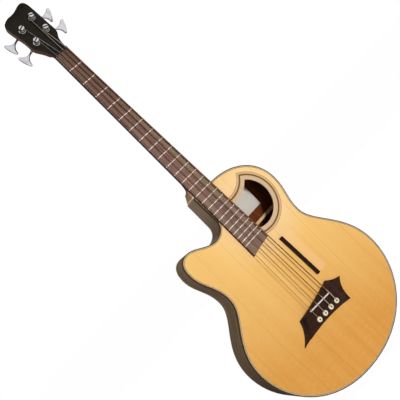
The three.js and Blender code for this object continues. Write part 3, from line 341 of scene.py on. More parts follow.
class Value:
    """A number that varies over a surface. Arithmetic on it adds Math nodes."""

    def __init__(self, finish, socket):
        self.finish = finish
        self.socket = socket

    def maths(self, operation, *terms):
        return self.finish.add("ShaderNodeMath", {"operation": operation}, dict(enumerate(terms)))

    def __add__(self, other):
        return self.maths("ADD", self, other)

    def __sub__(self, other):
        return self.maths("SUBTRACT", self, other)

    def __rsub__(self, other):
        return self.maths("SUBTRACT", other, self)

    def __mul__(self, other):
        return self.maths("MULTIPLY", self, other)

    def __truediv__(self, other):
        return self.maths("DIVIDE", self, other)

    def __rtruediv__(self, other):
        return self.maths("DIVIDE", other, self)

    def __pow__(self, other):
        return self.maths("POWER", self, other)

    def __rpow__(self, other):
        return self.maths("POWER", other, self)

    __radd__ = __add__
    __rmul__ = __mul__

    def larger(self, other):
        return self.maths("MAXIMUM", self, other)

    def size(self):
        return self.maths("ABSOLUTE", self)

    def waves(self, spacing):
        """Runs from 0 to 1 and back over each spacing."""
        return self.maths("SINE", self * (2 * math.pi / spacing)) * 0.5 + 0.5

    def between(self, low, high):
        """0 below low, 1 above high and straight between them."""
        sockets = {"Value": self, "From Min": low, "From Max": high}
        return self.finish.add("ShaderNodeMapRange", {"clamp": True}, sockets)


class Finish:
    """One material, with its shader's constants set on the shader's own sockets."""

    def __init__(self, name, **constants):
        self.material = bpy.data.materials.new(name)
        self.material.use_nodes = True
        self.tree = self.material.node_tree
        self.shader = self.tree.nodes["Principled BSDF"]
        self.place = self.add("ShaderNodeTexCoord", output="Object")
        self.give(**constants)

    def add(self, kind, settings=None, inputs=None, output=0):
        """Adds one node: its settings first, then the values or links of its sockets."""
        node = self.tree.nodes.new(kind)
        for setting, value in (settings or {}).items():
            if setting == "stops":
                self.set_stops(node.color_ramp, value)
            else:
                setattr(node, setting, value)
        for socket, value in (inputs or {}).items():
            self.feed(node.inputs[socket], value)
        return Value(self, node.outputs[output])

    def feed(self, socket, value):
        if isinstance(value, Value):
            self.tree.links.new(value.socket, socket)
        else:
            socket.default_value = value

    @staticmethod
    def set_stops(ramp, stops):
        while len(ramp.elements) < len(stops):
            ramp.elements.new(1.0)
        for element, (place, shown) in zip(ramp.elements, stops):
            element.position = place
            element.color = linear(shown)

    def give(self, **sockets):
        """Sets the shader's own sockets, or feeds them with what varies over the surface."""
        for socket, value in sockets.items():
            self.feed(self.shader.inputs[socket.replace("_", " ")], value)
        return self.material

    def axis(self, name):
        """How far along one of the guitar's axes a place lies, in metres."""
        return self.add("ShaderNodeSeparateXYZ", inputs={0: self.place}, output=name)

    def kept(self, name):
        """A number that the mesh keeps at each of its points."""
        return self.add("ShaderNodeAttribute", {"attribute_name": name}, output="Fac")

    def vectors(self, operation, *terms, output="Vector"):
        return self.add("ShaderNodeVectorMath", {"operation": operation}, dict(enumerate(terms)), output)

    def noise(self, scale, detail=2.0, roughness=0.5, distortion=0.0):
        """Soft noise, in repeats per metre: one number, or three for across, in depth and along."""
        vector = self.place
        if isinstance(scale, tuple):
            vector, scale = self.vectors("MULTIPLY", vector, scale), 1.0
        sockets = {"Vector": vector, "Scale": scale, "Detail": detail, "Roughness": roughness, "Distortion": distortion}
        return self.add("ShaderNodeTexNoise", {"noise_dimensions": "3D"}, sockets, "Fac")

    def mix(self, share, first, second):
        """A colour between two colours, each a link or a screen colour."""
        pair = [c if isinstance(c, Value) else linear(c) for c in (first, second)]
        return self.add("ShaderNodeMix", {"data_type": "RGBA"}, {0: share, 6: pair[0], 7: pair[1]}, 2)

    def bump(self, height, strength, distance):
        sockets = {"Strength": strength, "Distance": distance * MM, "Height": height}
        return self.add("ShaderNodeBump", inputs=sockets, output="Normal")

    def distance_from(self, across, from_nut):
        """Distance in the plane of the top from a place on it."""
        offset = self.vectors("SUBTRACT", self.place, (across * MM, 0.0, up(from_nut) * MM))
        return self.vectors("LENGTH", self.vectors("MULTIPLY", offset, (1.0, 0.0, 1.0)), output="Value")


def spruce_finish(name, colours):
    """Straight close grain, mirrored at the middle seam, under clear gloss lacquer. Painted shade deepens the top
    towards the tail, painted light makes it paler round the sound hole, and a painted highlight lies beside the thumb
    rest.
    """
    finish = Finish(name, IOR=1.5, Coat_Roughness=0.12, Specular_IOR_Level=0.12)
    across, height = finish.axis("X"), finish.axis("Z")
    from_seam = across.size()
    drift = finish.noise((9.0, 9.0, 1.6), 3.0)
    rings = (from_seam + drift * 0.012).waves(0.0016)
    broad = finish.noise((38.0, 38.0, 1.4), 3.0, 0.6)
    silk = finish.noise((60.0, 60.0, 240.0))
    lines = (from_seam + drift * 0.06).waves(0.068).between(0.99775, 1.0)
    seam = 1 - from_seam.between(0.0, 0.0005)
    # Painted shade: the top deepens towards the tail, less so on its +X side
    lower = 1 - (height + across * 0.3).between(0.1, 0.5)
    depth = rings * 0.12 + broad.between(0.3, 0.75) * 0.2 + lower**1.5 * 0.78 - 0.14
    # Painted light: the top is paler round the sound hole
    painted_light_near_hole = 1 - finish.distance_from(*HOLE[:2]).between(0.07, 0.15)
    grained = finish.mix(depth, colours.spruce, colours.spruce_deep)
    pale = finish.mix(painted_light_near_hole * 0.5, grained, (0.97, 0.85, 0.69))
    silky = finish.mix(silk.between(0.45, 0.8) * 0.09, pale, (0.98, 0.88, 0.66))
    lined = finish.mix(lines * 0.2 + seam * 0.12, silky, (0.62, 0.40, 0.18))
    # Painted highlight: a paler band beside the thumb rest
    beside = (across - PAINTED_SHEEN_BAND["across"] * MM).size() - PAINTED_SHEEN_BAND["half_width"] * MM
    beyond = (height - up(PAINTED_SHEEN_BAND["from_nut"]) * MM).size() - PAINTED_SHEEN_BAND["half_length"] * MM
    painted_sheen = 1 - beside.larger(beyond).between(-0.005, 0.004)
    return finish.give(
        Base_Color=finish.mix(painted_sheen * 0.36, lined, (0.99, 0.81, 0.60)),
        Roughness=broad * 0.1 + 0.24,
        Coat_Weight=silk * 0.04 + 0.04,
        Normal=finish.bump(rings + broad, 0.12, 0.05),
    )


def rosette_finish(name, colours):
    """Rings of inlaid wood that follow the hole's edge, worked out from the two circles of the hole."""
    finish = Finish(name, IOR=1.5, Coat_Roughness=0.12, Specular_IOR_Level=0.12)
    from_disc = finish.distance_from(*HOLE[:2]) - HOLE[2] * MM
    from_bite = BITE[2] * MM - finish.distance_from(*BITE[:2])
    outward = from_disc.larger(from_bite) / (ROSETTE[0] * MM)
    tan, gold = tuple(colours.rosette_tan), tuple(colours.rosette_gold)
    pale, dark = tuple(colours.line_pale), tuple(colours.line_dark)
    shade, olive = (0.77, 0.63, 0.50), (0.70, 0.55, 0.34)
    stops = [
        (0.0, tan), (0.13, tan), (0.16, shade), (0.20, tan), (0.33, tan), (0.36, shade), (0.40, pale),
        (0.50, pale), (0.53, dark), (0.71, dark), (0.74, gold), (0.91, gold), (0.95, olive), (1.0, olive),
    ]
    rings = finish.add("ShaderNodeValToRGB", {"stops": stops}, {"Fac": outward}, "Color")
    grain = finish.noise((420.0, 420.0, 70.0), 3.0)
    return finish.give(
        Base_Color=finish.mix(grain.between(0.4, 0.8) * 0.18, rings, (0.50, 0.34, 0.22)),
        Roughness=grain * 0.1 + 0.24,
        Coat_Weight=grain * 0.04 + 0.04,
        Normal=finish.bump(grain, 0.08, 0.05),
    )


def grained_finish(name, pale, dark, stretch, streaks, roughness, coat=0.0, bump=0.25, tint=None, gloss=0.1):
    """A dark open-pored wood: broad colour, fine streaks along the grain and short sunk pores."""
    finish = Finish(name, IOR=1.5, Coat_Roughness=0.15, Specular_IOR_Level=gloss)
    broad = finish.noise(scaled(stretch, 0.16), 3.0, 0.55, 0.4)
    lines = finish.noise(stretch, 4.0, 0.65, 0.15)
    pores = finish.noise(scaled(stretch, 3.1)).between(0.60, 0.68)
    depth = lines.between(0.38, 0.66) * streaks + broad.between(0.35, 0.7) * (1 - streaks)
    wood = finish.mix(pores * 0.55, finish.mix(depth, pale, dark), scaled(dark, 0.55))
    return finish.give(
        Base_Color=tint(finish, wood) if tint else wood,
        Roughness=lines * 0.16 + roughness,
        Coat_Weight=broad * 0.04 + coat,
        Normal=finish.bump(lines * 0.5 - pores, bump, 0.12),
    )


def side_painted_shade_and_light(finish, wood):
    """Painted shade darkens the sides towards the tail, and painted light makes them paler round the cutaway."""
    height = finish.axis("Z")
    darker = finish.mix((1 - height.between(0.04, 0.28)) * 0.97, wood, (0.07, 0.045, 0.025))
    return finish.mix(height.between(0.47, 0.52) * 0.4, darker, (0.78, 0.69, 0.60))


def heel_tint(finish, wood):
    """The heel is paler near the body, with a bright strip where it meets the body."""
    height = finish.axis("Z")
    heel = 1 - height.between(up(436) * MM, up(424) * MM)
    strip = 1 - height.between(up(446.4) * MM, up(445.8) * MM)
    tan = finish.mix(heel * 0.8, wood, (0.78, 0.62, 0.48))
    return finish.mix(strip * 0.9, tan, (0.97, 0.87, 0.73))


def bridge_painted_shade(finish, wood):
    """Painted shade on the slope of the bridge's longer wing, fading towards the tail."""
    middle, from_nut, lean = WING_SLOPES[0][:3]
    right, upward = finish.axis("X") - middle * MM, finish.axis("Z") - up(from_nut) * MM
    across = (right * math.cos(lean) - upward * math.sin(lean)).size()
    along = right * math.sin(lean) + upward * math.cos(lean)
    painted_shade_on_slope = (1 - across.between(0.0012, 0.0062)) * along.between(-0.026, 0.004)
    return finish.mix(painted_shade_on_slope * 0.9, wood, (0.035, 0.02, 0.015))


def edge_painted_shade(finish, wood):
    """Painted shade makes the fingerboard's edge darker over the body."""
    over_body = 1 - finish.axis("Z").between(up(500) * MM, up(380) * MM)
    return finish.mix(over_body * 0.75, wood, (0.13, 0.04, 0.02))


def board_streaks_and_painted_shade(finish, wood):
    """Painted shade darkens the fingerboard towards the nut, and olive streaks lie beside the red ones."""
    # Painted shade towards the nut
    upper = finish.axis("Z").between(up(330) * MM, up(40) * MM)
    olive = finish.noise((95.0, 95.0, 3.0)).between(0.42, 0.6)
    streaked = finish.mix(olive * 0.45, wood, (0.52, 0.47, 0.38))
    return finish.mix(upper * 0.4, streaked, (0.26, 0.18, 0.16))


def raw_finish(name, pale, dark, stretch):
    """Sanded wood without lacquer, as inside the body."""
    finish = Finish(name, IOR=1.45, Specular_IOR_Level=0.15)
    lines = finish.noise(stretch, 4.0, 0.6)
    wood = finish.mix(lines.between(0.35, 0.7), pale, dark)
    return finish.give(Base_Color=wood, Roughness=lines * 0.2 + 0.62, Normal=finish.bump(lines, 0.3, 0.15))


def lacquer_finish(name, shown, roughness, lift=0.03):
    """Lacquer or dense plastic with the faint unevenness of a buffed surface."""
    finish = Finish(name, IOR=1.5, Coat_Roughness=0.12, Specular_IOR_Level=0.08)
    cloud = finish.noise(60.0, 3.0)
    rub = finish.noise((900.0, 900.0, 120.0), 3.0, 0.6)
    return finish.give(
        Base_Color=finish.mix(cloud, shown, tuple(min(1.0, c + lift) for c in shown)),
        Roughness=rub * 0.16 + roughness,
        Coat_Weight=cloud * 0.04 + 0.03,
        Normal=finish.bump(rub, 0.06, 0.03),
    )


def metal_finish(name, shown, roughness, metallic=1.0):
    """Plated metal with cloudy polish and faint rubbing marks."""
    finish = Finish(name, Metallic=metallic)
    cloud = finish.noise(90.0, 3.0)
    rub = finish.noise((1500.0, 1500.0, 300.0))
    return finish.give(
        Base_Color=finish.mix(cloud.between(0.4, 0.75), shown, scaled(shown, 0.88)),
        Roughness=cloud * 0.08 + rub * 0.05 + roughness,
        Normal=finish.bump(rub, 0.04, 0.02),
    )


def wound_finish(name, bronze, wrap_pitch):
    """Bronze winding wire: a ridge for each turn of the wire with painted shade between the turns, bronze along the
    length between saddle and nut and paler beyond it.
    """
    finish = Finish(name, Metallic=1.0)
    ridge = finish.kept("along").waves(wrap_pitch)
    tarnish = finish.noise(45.0, 3.0)
    height = finish.axis("Z")
    played = height.between(up(813) * MM, up(808) * MM) * (1 - height.between(up(3) * MM, up(-2) * MM))
    wire = finish.mix(played, (0.78, 0.74, 0.70), bronze)
    # Painted shade between the turns of the wire, with random tarnish
    shade = finish.mix((1 - ridge) * 0.3 + tarnish * 0.25, wire, (0.30, 0.24, 0.20))
    return finish.give(Base_Color=shade, Roughness=tarnish * 0.15 + 0.3, Normal=finish.bump(ridge, 0.6, 0.12))


def bone_finish(name, shown):
    """Polished bone or cream plastic, faintly cloudy."""
    finish = Finish(name, IOR=1.54, Subsurface_Weight=0.1, Subsurface_Scale=0.002, Coat_Roughness=0.1)
    cloud = finish.noise((260.0, 700.0, 700.0), 3.0)
    cream = finish.mix(cloud.between(0.4, 0.8), shown, scaled(shown, 0.9))
    return finish.give(Base_Color=cream, Roughness=cloud * 0.15 + 0.3, Normal=finish.bump(cloud, 0.05, 0.03))


def pin_finish(name, shown):
    """Cream plastic with a dark dot in the middle of each pin's head."""
    finish = Finish(name, IOR=1.5, Coat_Roughness=0.1)
    cloud = finish.noise(300.0)
    dot = 1 - finish.kept("from_axis").between(0.0019, 0.0021)
    cream = finish.mix(cloud, shown, scaled(shown, 0.9))
    return finish.give(Base_Color=finish.mix(dot, cream, (0.14, 0.10, 0.08)), Roughness=cloud * 0.12 + 0.24)


def paper_finish(name, shown):
    """Plain paper with fibres and slight cockling."""
    finish = Finish(name, IOR=1.4)
    fibre = finish.noise(900.0, 4.0, 0.7)
    cockle = finish.noise(35.0)
    worn = finish.mix(cockle.between(0.45, 0.8) * 0.4, shown, (0.80, 0.74, 0.64))
    return finish.give(
        Base_Color=finish.mix(fibre * 0.2, worn, (0.7, 0.66, 0.58)),
        Roughness=fibre * 0.1 + 0.75,
        Normal=finish.bump(cockle * 3 + fibre, 0.3, 0.2),
    )


def shared_finishes(colours, wrap_pitch):
    """Every finish by name: what makes it, then what that takes after the name."""
    side, neck, edge = colours.side_wood, colours.neck_wood, colours.fingerboard_edge
    binding, brace, inside = colours.binding, colours.brace_wood, colours.inside_wood
    along, board = (170.0, 170.0, 7.0), (330.0, 330.0, 9.0)
    plans = {
        "top_spruce": (spruce_finish, colours),
        "rosette_wood": (rosette_finish, colours),
        # Grained woods: pale, dark, stretch, share of streaks, roughness, coat, bump, tint (which paints light and
        # shade on the sides, bridge and fingerboard) and gloss
        "side_wood": (
            grained_finish, side, colours.side_wood_dark, (9.0, 190.0, 9.0), 0.7, 0.4, 0.0, 0.25, side_painted_shade_and_light, 0.03
        ),
        "back_wood": (
            grained_finish, side, colours.side_wood_dark, (150.0, 150.0, 6.0), 0.7, 0.3, 0.0, 0.25, None, 0.08
        ),
        "neck_wood": (
            grained_finish, neck, colours.neck_wood_dark, (210.0, 210.0, 8.0), 0.55, 0.36, 0.0, 0.25, heel_tint
        ),
        "fingerboard_wood": (
            grained_finish, colours.fingerboard, colours.fingerboard_dark, board, 0.75, 0.42, 0.0, 0.4, board_streaks_and_painted_shade
        ),
        # Painted shade: a darker copy of the fingerboard's wood for its side faces
        "fingerboard_edge": (grained_finish, edge, scaled(edge, 0.7), board, 0.75, 0.42, 0.0, 0.4, edge_painted_shade),
        "bridge_wood": (
            grained_finish, colours.bridge, colours.bridge_dark, (12.0, 260.0, 260.0), 0.6, 0.36, 0.0, 0.35, bridge_painted_shade
        ),
        "thumb_rest_wood": (grained_finish, (0.18, 0.062, 0.025), (0.09, 0.03, 0.012), along, 0.6, 0.3, 0.02),
        "binding": (grained_finish, binding, scaled(binding, 0.72), (60.0, 60.0, 60.0), 0.5, 0.26, 0.04, 0.1),
        "inside_wood": (raw_finish, inside, scaled(inside, 0.6), along),
        "brace_spruce": (raw_finish, brace, scaled(brace, 0.82), (240.0, 240.0, 20.0)),
        "lining_wood": (raw_finish, (0.55, 0.38, 0.27), (0.40, 0.26, 0.18), (90.0, 260.0, 90.0)),
        # Lacquers and metals: colour, roughness, then how much paler or how metallic
        "black_lacquered_wood": (lacquer_finish, colours.lacquer, 0.34),
        "black_cover": (lacquer_finish, colours.nut_black, 0.3),
        "black_nut": (lacquer_finish, colours.nut_black, 0.25, 0.05),
        "line_pale": (lacquer_finish, colours.line_pale, 0.28, 0.02),
        "line_black": (lacquer_finish, colours.line_black, 0.28, 0.04),
        "chrome": (metal_finish, colours.chrome, 0.06),
        # Painted shade for the slots and bores in the posts' crowns
        "milled_metal": (metal_finish, (0.06, 0.055, 0.055), 0.35),
        "fret_metal": (metal_finish, colours.nickel, 0.2, 0.75),
        "string_bronze": (wound_finish, colours.bronze, wrap_pitch),
        "saddle_bone": (bone_finish, colours.bone),
        "dot_plastic": (bone_finish, colours.pin_cream),
        "pin_plastic": (pin_finish, colours.pin_cream),
        "paper": (paper_finish, colours.paper),
    }
    return {name: make(name, *values) for name, (make, *values) in plans.items()}


def finishes():
    """The finishes by name, made when the first piece asks for them."""
    if not finishes.made:
        scene = bpy.context.scene
        finishes.made = shared_finishes(scene.bass_colours, scene.bass_shapes.wrap_pitch)
    return finishes.made


finishes.made = {}

# Shapes


def up(from_nut):
    return NUT_HEIGHT - from_nut


def half_width(from_nut):
    return (NUT_WIDTH + WIDTH_GROWTH * from_nut) / 2


def bend(start, pull, end, t):
    """A place on the curve that leaves start towards pull and comes to end from it."""
    return (1 - t) ** 2 * start + 2 * t * (1 - t) * pull + t * t * end


def smooth_outline(knots, steps):
    """Points of a closed line through knots, each with a heading and two handles."""
    points = [Vector(knots[0][:2])]
    for (x0, z0, heading0, _, after), (x1, z1, heading1, before, _) in zip(knots, knots[1:]):
        start, end = Vector((x0, z0)), Vector((x1, z1))
        if after == 0:
            points.append(end)
            continue
        leave, arrive = math.radians(heading0), math.radians(heading1)
        first = start + after * Vector((math.cos(leave), math.sin(leave)))
        second = end - before * Vector((math.cos(arrive), math.sin(arrive)))
        for step in range(1, steps + 1):
            t = step / steps
            s = 1 - t
            points.append(s**3 * start + 3 * s * s * t * first + 3 * s * t * t * second + t**3 * end)
    if (points[0] - points[-1]).length < 1e-6:
        points.pop()
    return points


def signed_area(points):
    return sum(a.x * b.y - b.x * a.y for a, b in zip(points, points[1:] + points[:1])) / 2


def inset(points, distance):
    """Moves a closed line inwards by a distance, or outwards by a negative one, with mitred corners."""
    turn = 1 if signed_area(points) > 0 else -1
    shifted = []
    for i, point in enumerate(points):
        arriving = (point - points[i - 1]).normalized()
        leaving = (points[(i + 1) % len(points)] - point).normalized()
        inward = Vector((-arriving.y - leaving.y, arriving.x + leaving.x)) * turn
        shifted.append(point + inward * (distance / max(1 + arriving.dot(leaving), 0.15)))
    return shifted


def gap_to(outline, x, z):
    """Distance from a place to the nearest run of an outline."""
    place = Vector((x, z))
    least = math.inf
    for a, b in zip(outline, outline[1:] + outline[:1]):
        run = b - a
        share = min(1.0, max(0.0, (place - a).dot(run) / run.length_squared))
        least = min(least, (place - a - run * share).length)
    return least


def at(value, x, z):
    return value(x, z) if callable(value) else value


def added(name, data):
    """An object of a mesh, a lamp or a camera, in the scene."""
    piece = bpy.data.objects.new(name, data)
    bpy.context.scene.collection.objects.link(piece)
    return piece


def solid(name, vertices, faces):
    """A mesh object from points in millimetres, without doubled points, with its faces turned outwards."""
    mesh = bpy.data.meshes.new(name)
    work = bmesh.new()
    made = [work.verts.new(Vector(v) * MM) for v in vertices]
    for face in faces:
        if len(set(face)) > 2:
            work.faces.new([made[i] for i in face])
    bmesh.ops.remove_doubles(work, verts=work.verts, dist=1e-7)
    bmesh.ops.dissolve_degenerate(work, edges=work.edges, dist=1e-7)
    bmesh.ops.recalc_face_normals(work, faces=work.faces)
    work.to_mesh(mesh)
    work.free()
    return added(name, mesh)


def coat(piece, finish):
    piece.data.materials.clear()
    piece.data.materials.append(finishes()[finish])
    return piece


def second_coat(piece, finish, chosen):
    """Gives the faces whose centre and outward direction pass a test another finish."""
    piece.data.materials.append(finishes()[finish])
    last = len(piece.data.materials) - 1
    for face in piece.data.polygons:
        if chosen(face.center / MM, face.normal):
            face.material_index = last


def smoothed(piece, degrees=32):
    piece.data.shade_smooth()
    piece.data.set_sharp_from_angle(angle=math.radians(degrees))
    return piece


def settled(piece):
    """Turns the result of the piece's modifiers into its mesh."""
    bpy.context.view_layer.update()
    result = bpy.data.meshes.new_from_object(piece.evaluated_get(bpy.context.evaluated_depsgraph_get()))
    result.name = piece.data.name
    piece.modifiers.clear()
    piece.data = result
    return piece


def combined(piece, operation, *others):
    """Joins other pieces to this one, cuts them out of it or keeps what it has in common with them."""
    for other in others:
        tool = piece.modifiers.new(operation.lower(), "BOOLEAN")
        tool.operation = operation
        tool.solver = "EXACT"
        tool.object = other
        settled(piece)
        if not piece.data.polygons:
            raise RuntimeError(f"Nothing was left of {piece.name} when it was combined with {other.name}")
        bpy.data.objects.remove(other)
    return piece


def rounded(piece, width, segments=2, degrees=38):
    """Rounds the edges that are sharper than an angle."""
    tool = piece.modifiers.new("round", "BEVEL")
    tool.width = width * MM
    tool.segments = segments
    tool.limit_method = "ANGLE"
    tool.angle_limit = math.radians(degrees)
    tool.use_clamp_overlap = True
    return settled(piece)


def placing(shift, angle, axis):
    """A turn about an axis, then a shift in millimetres."""
    return Matrix.Translation(shift) @ Matrix.Rotation(angle, 4, axis)


def moved(piece, matrix):
    """Places a piece's mesh by a matrix whose shifts are in millimetres."""
    place = matrix.copy()
    place.translation = matrix.translation * MM
    piece.data.transform(place)
    if matrix.determinant() < 0:
        piece.data.flip_normals()
    return piece


def hoops(rows, count, first=0):
    """Faces between rows of points, from a first point on. Each row has a count of points and goes once round."""
    return [
        (start + i, start + (i + 1) % count, start + count + (i + 1) % count, start + count + i)
        for start in range(first, first + (rows - 1) * count, count)
        for i in range(count)
    ]


def plate(name, outlines, front, back, rounding=0.0):
    """A flat plate between two depths, which may vary. The first outline is its edge and the others are holes."""
    corner = [(0.0, 0.0)]
    if rounding:
        turns = [math.pi / 2 * k / PLATE_EDGE_STEPS for k in range(PLATE_EDGE_STEPS + 1)]
        corner = [(rounding * (1 - math.sin(a)), rounding * (1 - math.cos(a))) for a in turns]
    layers = [(inward, drop, front) for inward, drop in corner]
    layers += [(inward, -drop, back) for inward, drop in reversed(corner)]
    vertices, faces, caps = [], [], ([], [])
    for outline in outlines:
        first, count = len(vertices), len(outline)
        for inward, drop, depth in layers:
            ring = inset(outline, inward if outline is outlines[0] else -inward) if inward else outline
            vertices += [(p.x, at(depth, p.x, p.y) + drop, p.y) for p in ring]
        faces += hoops(len(layers), count, first)
        caps[0].append(range(first, first + count))
        caps[1].append(range(len(vertices) - count, len(vertices)))
    for cap in caps:
        flat = [[Vector((vertices[i][0], vertices[i][2], 0)) for i in ring] for ring in cap]
        order = [i for ring in cap for i in ring]
        faces += [tuple(order[i] for i in triangle) for triangle in tessellate_polygon(flat)]
    return solid(name, vertices, faces)


def band(name, outline, outer, inner, front, back, rounding=0.0):
    """A hoop between two insets of an outline and two depths."""
    return plate(name, [inset(outline, outer) if outer else outline, inset(outline, inner)], front, back, rounding)


def loft(name, rings):
    """A closed skin over a row of rings, each with as many points as the others."""
    count = len(rings[0])
    vertices = [p for ring in rings for p in ring]
    ends = [tuple(reversed(range(count))), tuple(range(len(vertices) - count, len(vertices)))]
    return solid(name, vertices, hoops(len(rings), count) + ends)


def turned(name, profile, sides, x=0.0, z=0.0):
    """A piece turned about a line along Y, from pairs of radius and depth that start and end on the line."""
    angles = [2 * math.pi * i / sides for i in range(sides)]
    vertices = [(x + radius * math.cos(a), y, z + radius * math.sin(a)) for radius, y in profile for a in angles]
    return solid(name, vertices, hoops(len(profile), sides))


def rod(name, radius, front, back, sides, x=0.0, z=0.0):
    """A plain round bar along Y, for holes and small discs."""
    return turned(name, [(0, front), (radius, front), (radius, back), (0, back)], sides, x, z)


def softened(profile, radius, steps=3):
    """Rounds the corners of a turned piece's profile, apart from its two ends."""
    points = [Vector(p) for p in profile]
    result = [points[0]]
    for before, here, after in zip(points, points[1:], points[2:]):
        reach = min(radius, (here - before).length * 0.45, (after - here).length * 0.45)
        first = here + (before - here).normalized() * reach
        second = here + (after - here).normalized() * reach
        result += [bend(first, here, second, step / steps) for step in range(steps + 1)]
    return [tuple(p) for p in result + [points[-1]]]


def block(name, x0, x1, y0, y1, z0, z1):
    """A squared block, for joints inside the body and for cuts."""
    corners = [(x, y, z) for x in (x0, x1) for y in (y0, y1) for z in (z0, z1)]
    faces = [(0, 1, 3, 2), (4, 6, 7, 5), (0, 4, 5, 1), (2, 3, 7, 6), (0, 2, 6, 4), (1, 5, 7, 3)]
    return solid(name, corners, faces)


def crossed(name, reach, slim, front, back):
    """Two crossed bars, for cutting a cross into the end of a screw or a post."""
    return [block(name, -x, x, front, back, -z, z) for x, z in ((reach, slim), (slim, reach))]


def rounded_rectangle(left, right, bottom, top, corner, steps=6):
    points = []
    for centre_x, centre_z, start in (
        (right - corner, top - corner, 0), (left + corner, top - corner, 1),
        (left + corner, bottom + corner, 2), (right - corner, bottom + corner, 3),
    ):
        for step in range(steps + 1):
            angle = math.pi / 2 * (start + step / steps)
            points.append(Vector((centre_x + corner * math.cos(angle), centre_z + corner * math.sin(angle))))
    return points


def marked(mesh, name, values):
    """Keeps a number for each point of a mesh, for its finish."""
    mesh.attributes.new(name, "FLOAT", "POINT").data.foreach_set("value", values)


def tube(name, route, radius, sides):
    """A round bar along a route, with the distance along it kept for its finish."""
    across = Vector((1, 0, 0))
    vertices, along, travelled = [], [], 0.0
    for i, point in enumerate(route):
        before, after = route[max(i - 1, 0)], route[min(i + 1, len(route) - 1)]
        heading = (after - before).normalized()
        across = (across - heading * across.dot(heading)).normalized()
        other = heading.cross(across)
        travelled += (point - before).length
        for side in range(sides):
            angle = 2 * math.pi * side / sides
            vertices.append(point + radius * (math.cos(angle) * across + math.sin(angle) * other))
            along.append(travelled * MM)
    ends = [tuple(range(sides)), tuple(range(len(vertices) - sides, len(vertices)))]
    mesh = bpy.data.meshes.new(name)
    mesh.from_pydata([v * MM for v in vertices], [], hoops(len(route), sides) + ends)
    marked(mesh, "along", along)
    work = bmesh.new()
    work.from_mesh(mesh)
    bmesh.ops.recalc_face_normals(work, faces=work.faces)
    work.to_mesh(mesh)
    work.free()
    return added(name, mesh)


def keep(piece, slot, *nodes, body="instrument"):
    """Makes a finished piece ride on its body and stand for its CAD nodes, under a name of its own."""
    plain = piece.name.split(".")[0]
    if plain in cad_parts:
        piece.name = f"fine_{plain}"
    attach(piece, body)
    if nodes:
        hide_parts(*nodes)
    return piece


def finished(piece, finish, *nodes, slot=None, degrees=32):
    """Coats, smooths and keeps a piece. The slot it is given is not used."""
    return keep(smoothed(coat(piece, finish), degrees), slot or finish, *nodes)


def back_face(_, z):
    """Depth of the back's outer face, which slopes from the neck to the tail."""
    share = (NUT_HEIGHT - z - BODY_START) / BODY_LENGTH
    return TOP_FACE + DEPTH_AT_NECK + (DEPTH_AT_TAIL - DEPTH_AT_NECK) * share


def back_inner_face(x, z):
    return back_face(x, z) - PLATE


def back_seat(x, z):
    """Depth where the sides and blocks end, clear of the back's inner face."""
    return back_inner_face(x, z) - CLEARANCE


def body_outline(steps):
    return smooth_outline([(x, up(from_nut), *rest) for x, from_nut, *rest in BODY_KNOTS], steps)


def arc(centre, radius, start, end, steps):
    return [
        centre + radius * Vector((math.cos(a), math.sin(a)))
        for a in (start + (end - start) * i / steps for i in range(steps + 1))
    ]


def hole_outline(grown, straight_edge, steps=64):
    """Edge of the sound hole: a disc, bitten into by a second disc and cut off straight."""
    disc, radius = Vector((HOLE[0], up(HOLE[1]))), HOLE[2] + grown
    bite, bite_radius = Vector((BITE[0], up(BITE[1]))), BITE[2] - grown
    drop = math.sqrt(radius**2 - (disc.x - straight_edge) ** 2)
    lowest = Vector((straight_edge, disc.y - drop)) - disc
    to_bite = bite - disc
    reach = (to_bite.length_squared + radius**2 - bite_radius**2) / (2 * to_bite.length)
    half = math.sqrt(radius**2 - reach**2)
    aim = to_bite.normalized()
    right = disc + aim * reach + half * Vector((aim.y, -aim.x))
    start = math.atan2(lowest.y, lowest.x)
    end = math.atan2((right - disc).y, (right - disc).x)
    outline = arc(disc, radius, start, end, steps)
    top = bite.y - math.sqrt(max(bite_radius**2 - (bite.x - straight_edge) ** 2, 0.0))
    first, last = right - bite, Vector((straight_edge, top)) - bite
    return outline + arc(bite, bite_radius, math.atan2(first.y, first.x), math.atan2(last.y, last.x), steps // 2)[1:]


def string_across(i, spacing):
    return (i - (len(STRINGS) - 1) / 2) * spacing


def slanted(across, thin, thick, half_span):
    return thin + (thick - thin) * (across + half_span) / (2 * half_span)


def pin_places():
    half_span = string_across(len(STRINGS) - 1, BRIDGE_SPACING)
    across = [string_across(i, BRIDGE_SPACING) for i in range(len(STRINGS))]
    return [(x, slanted(x, PIN_ROW["thin"], PIN_ROW["thick"], half_span)) for x in across]


def pin_holes(steps=32):
    """Outlines of the holes for the bridge pins, in the top and in the bridge."""
    angles = [2 * math.pi * i / steps for i in range(steps)]
    radius = PIN_ROW["hole"]
    return [
        [Vector((x + radius * math.cos(a), up(from_nut) + radius * math.sin(a))) for a in angles]
        for x, from_nut in pin_places()
    ]


def head_matrix():
    return placing((0, FRET_PLANE + HEAD_DROP, NUT_HEIGHT), -HEAD_TILT, "X")


def machine_matrix(name):
    """From a tuning machine's own frame, made for the right side, to the guitar's."""
    side, height = POSTS[name]
    place = head_matrix() @ Matrix.Translation((side * POST_ACROSS, 0, height)) @ Matrix.Rotation(side * SPLAY, 4, "Y")
    return place @ Matrix.Scale(side, 4, (1, 0, 0))


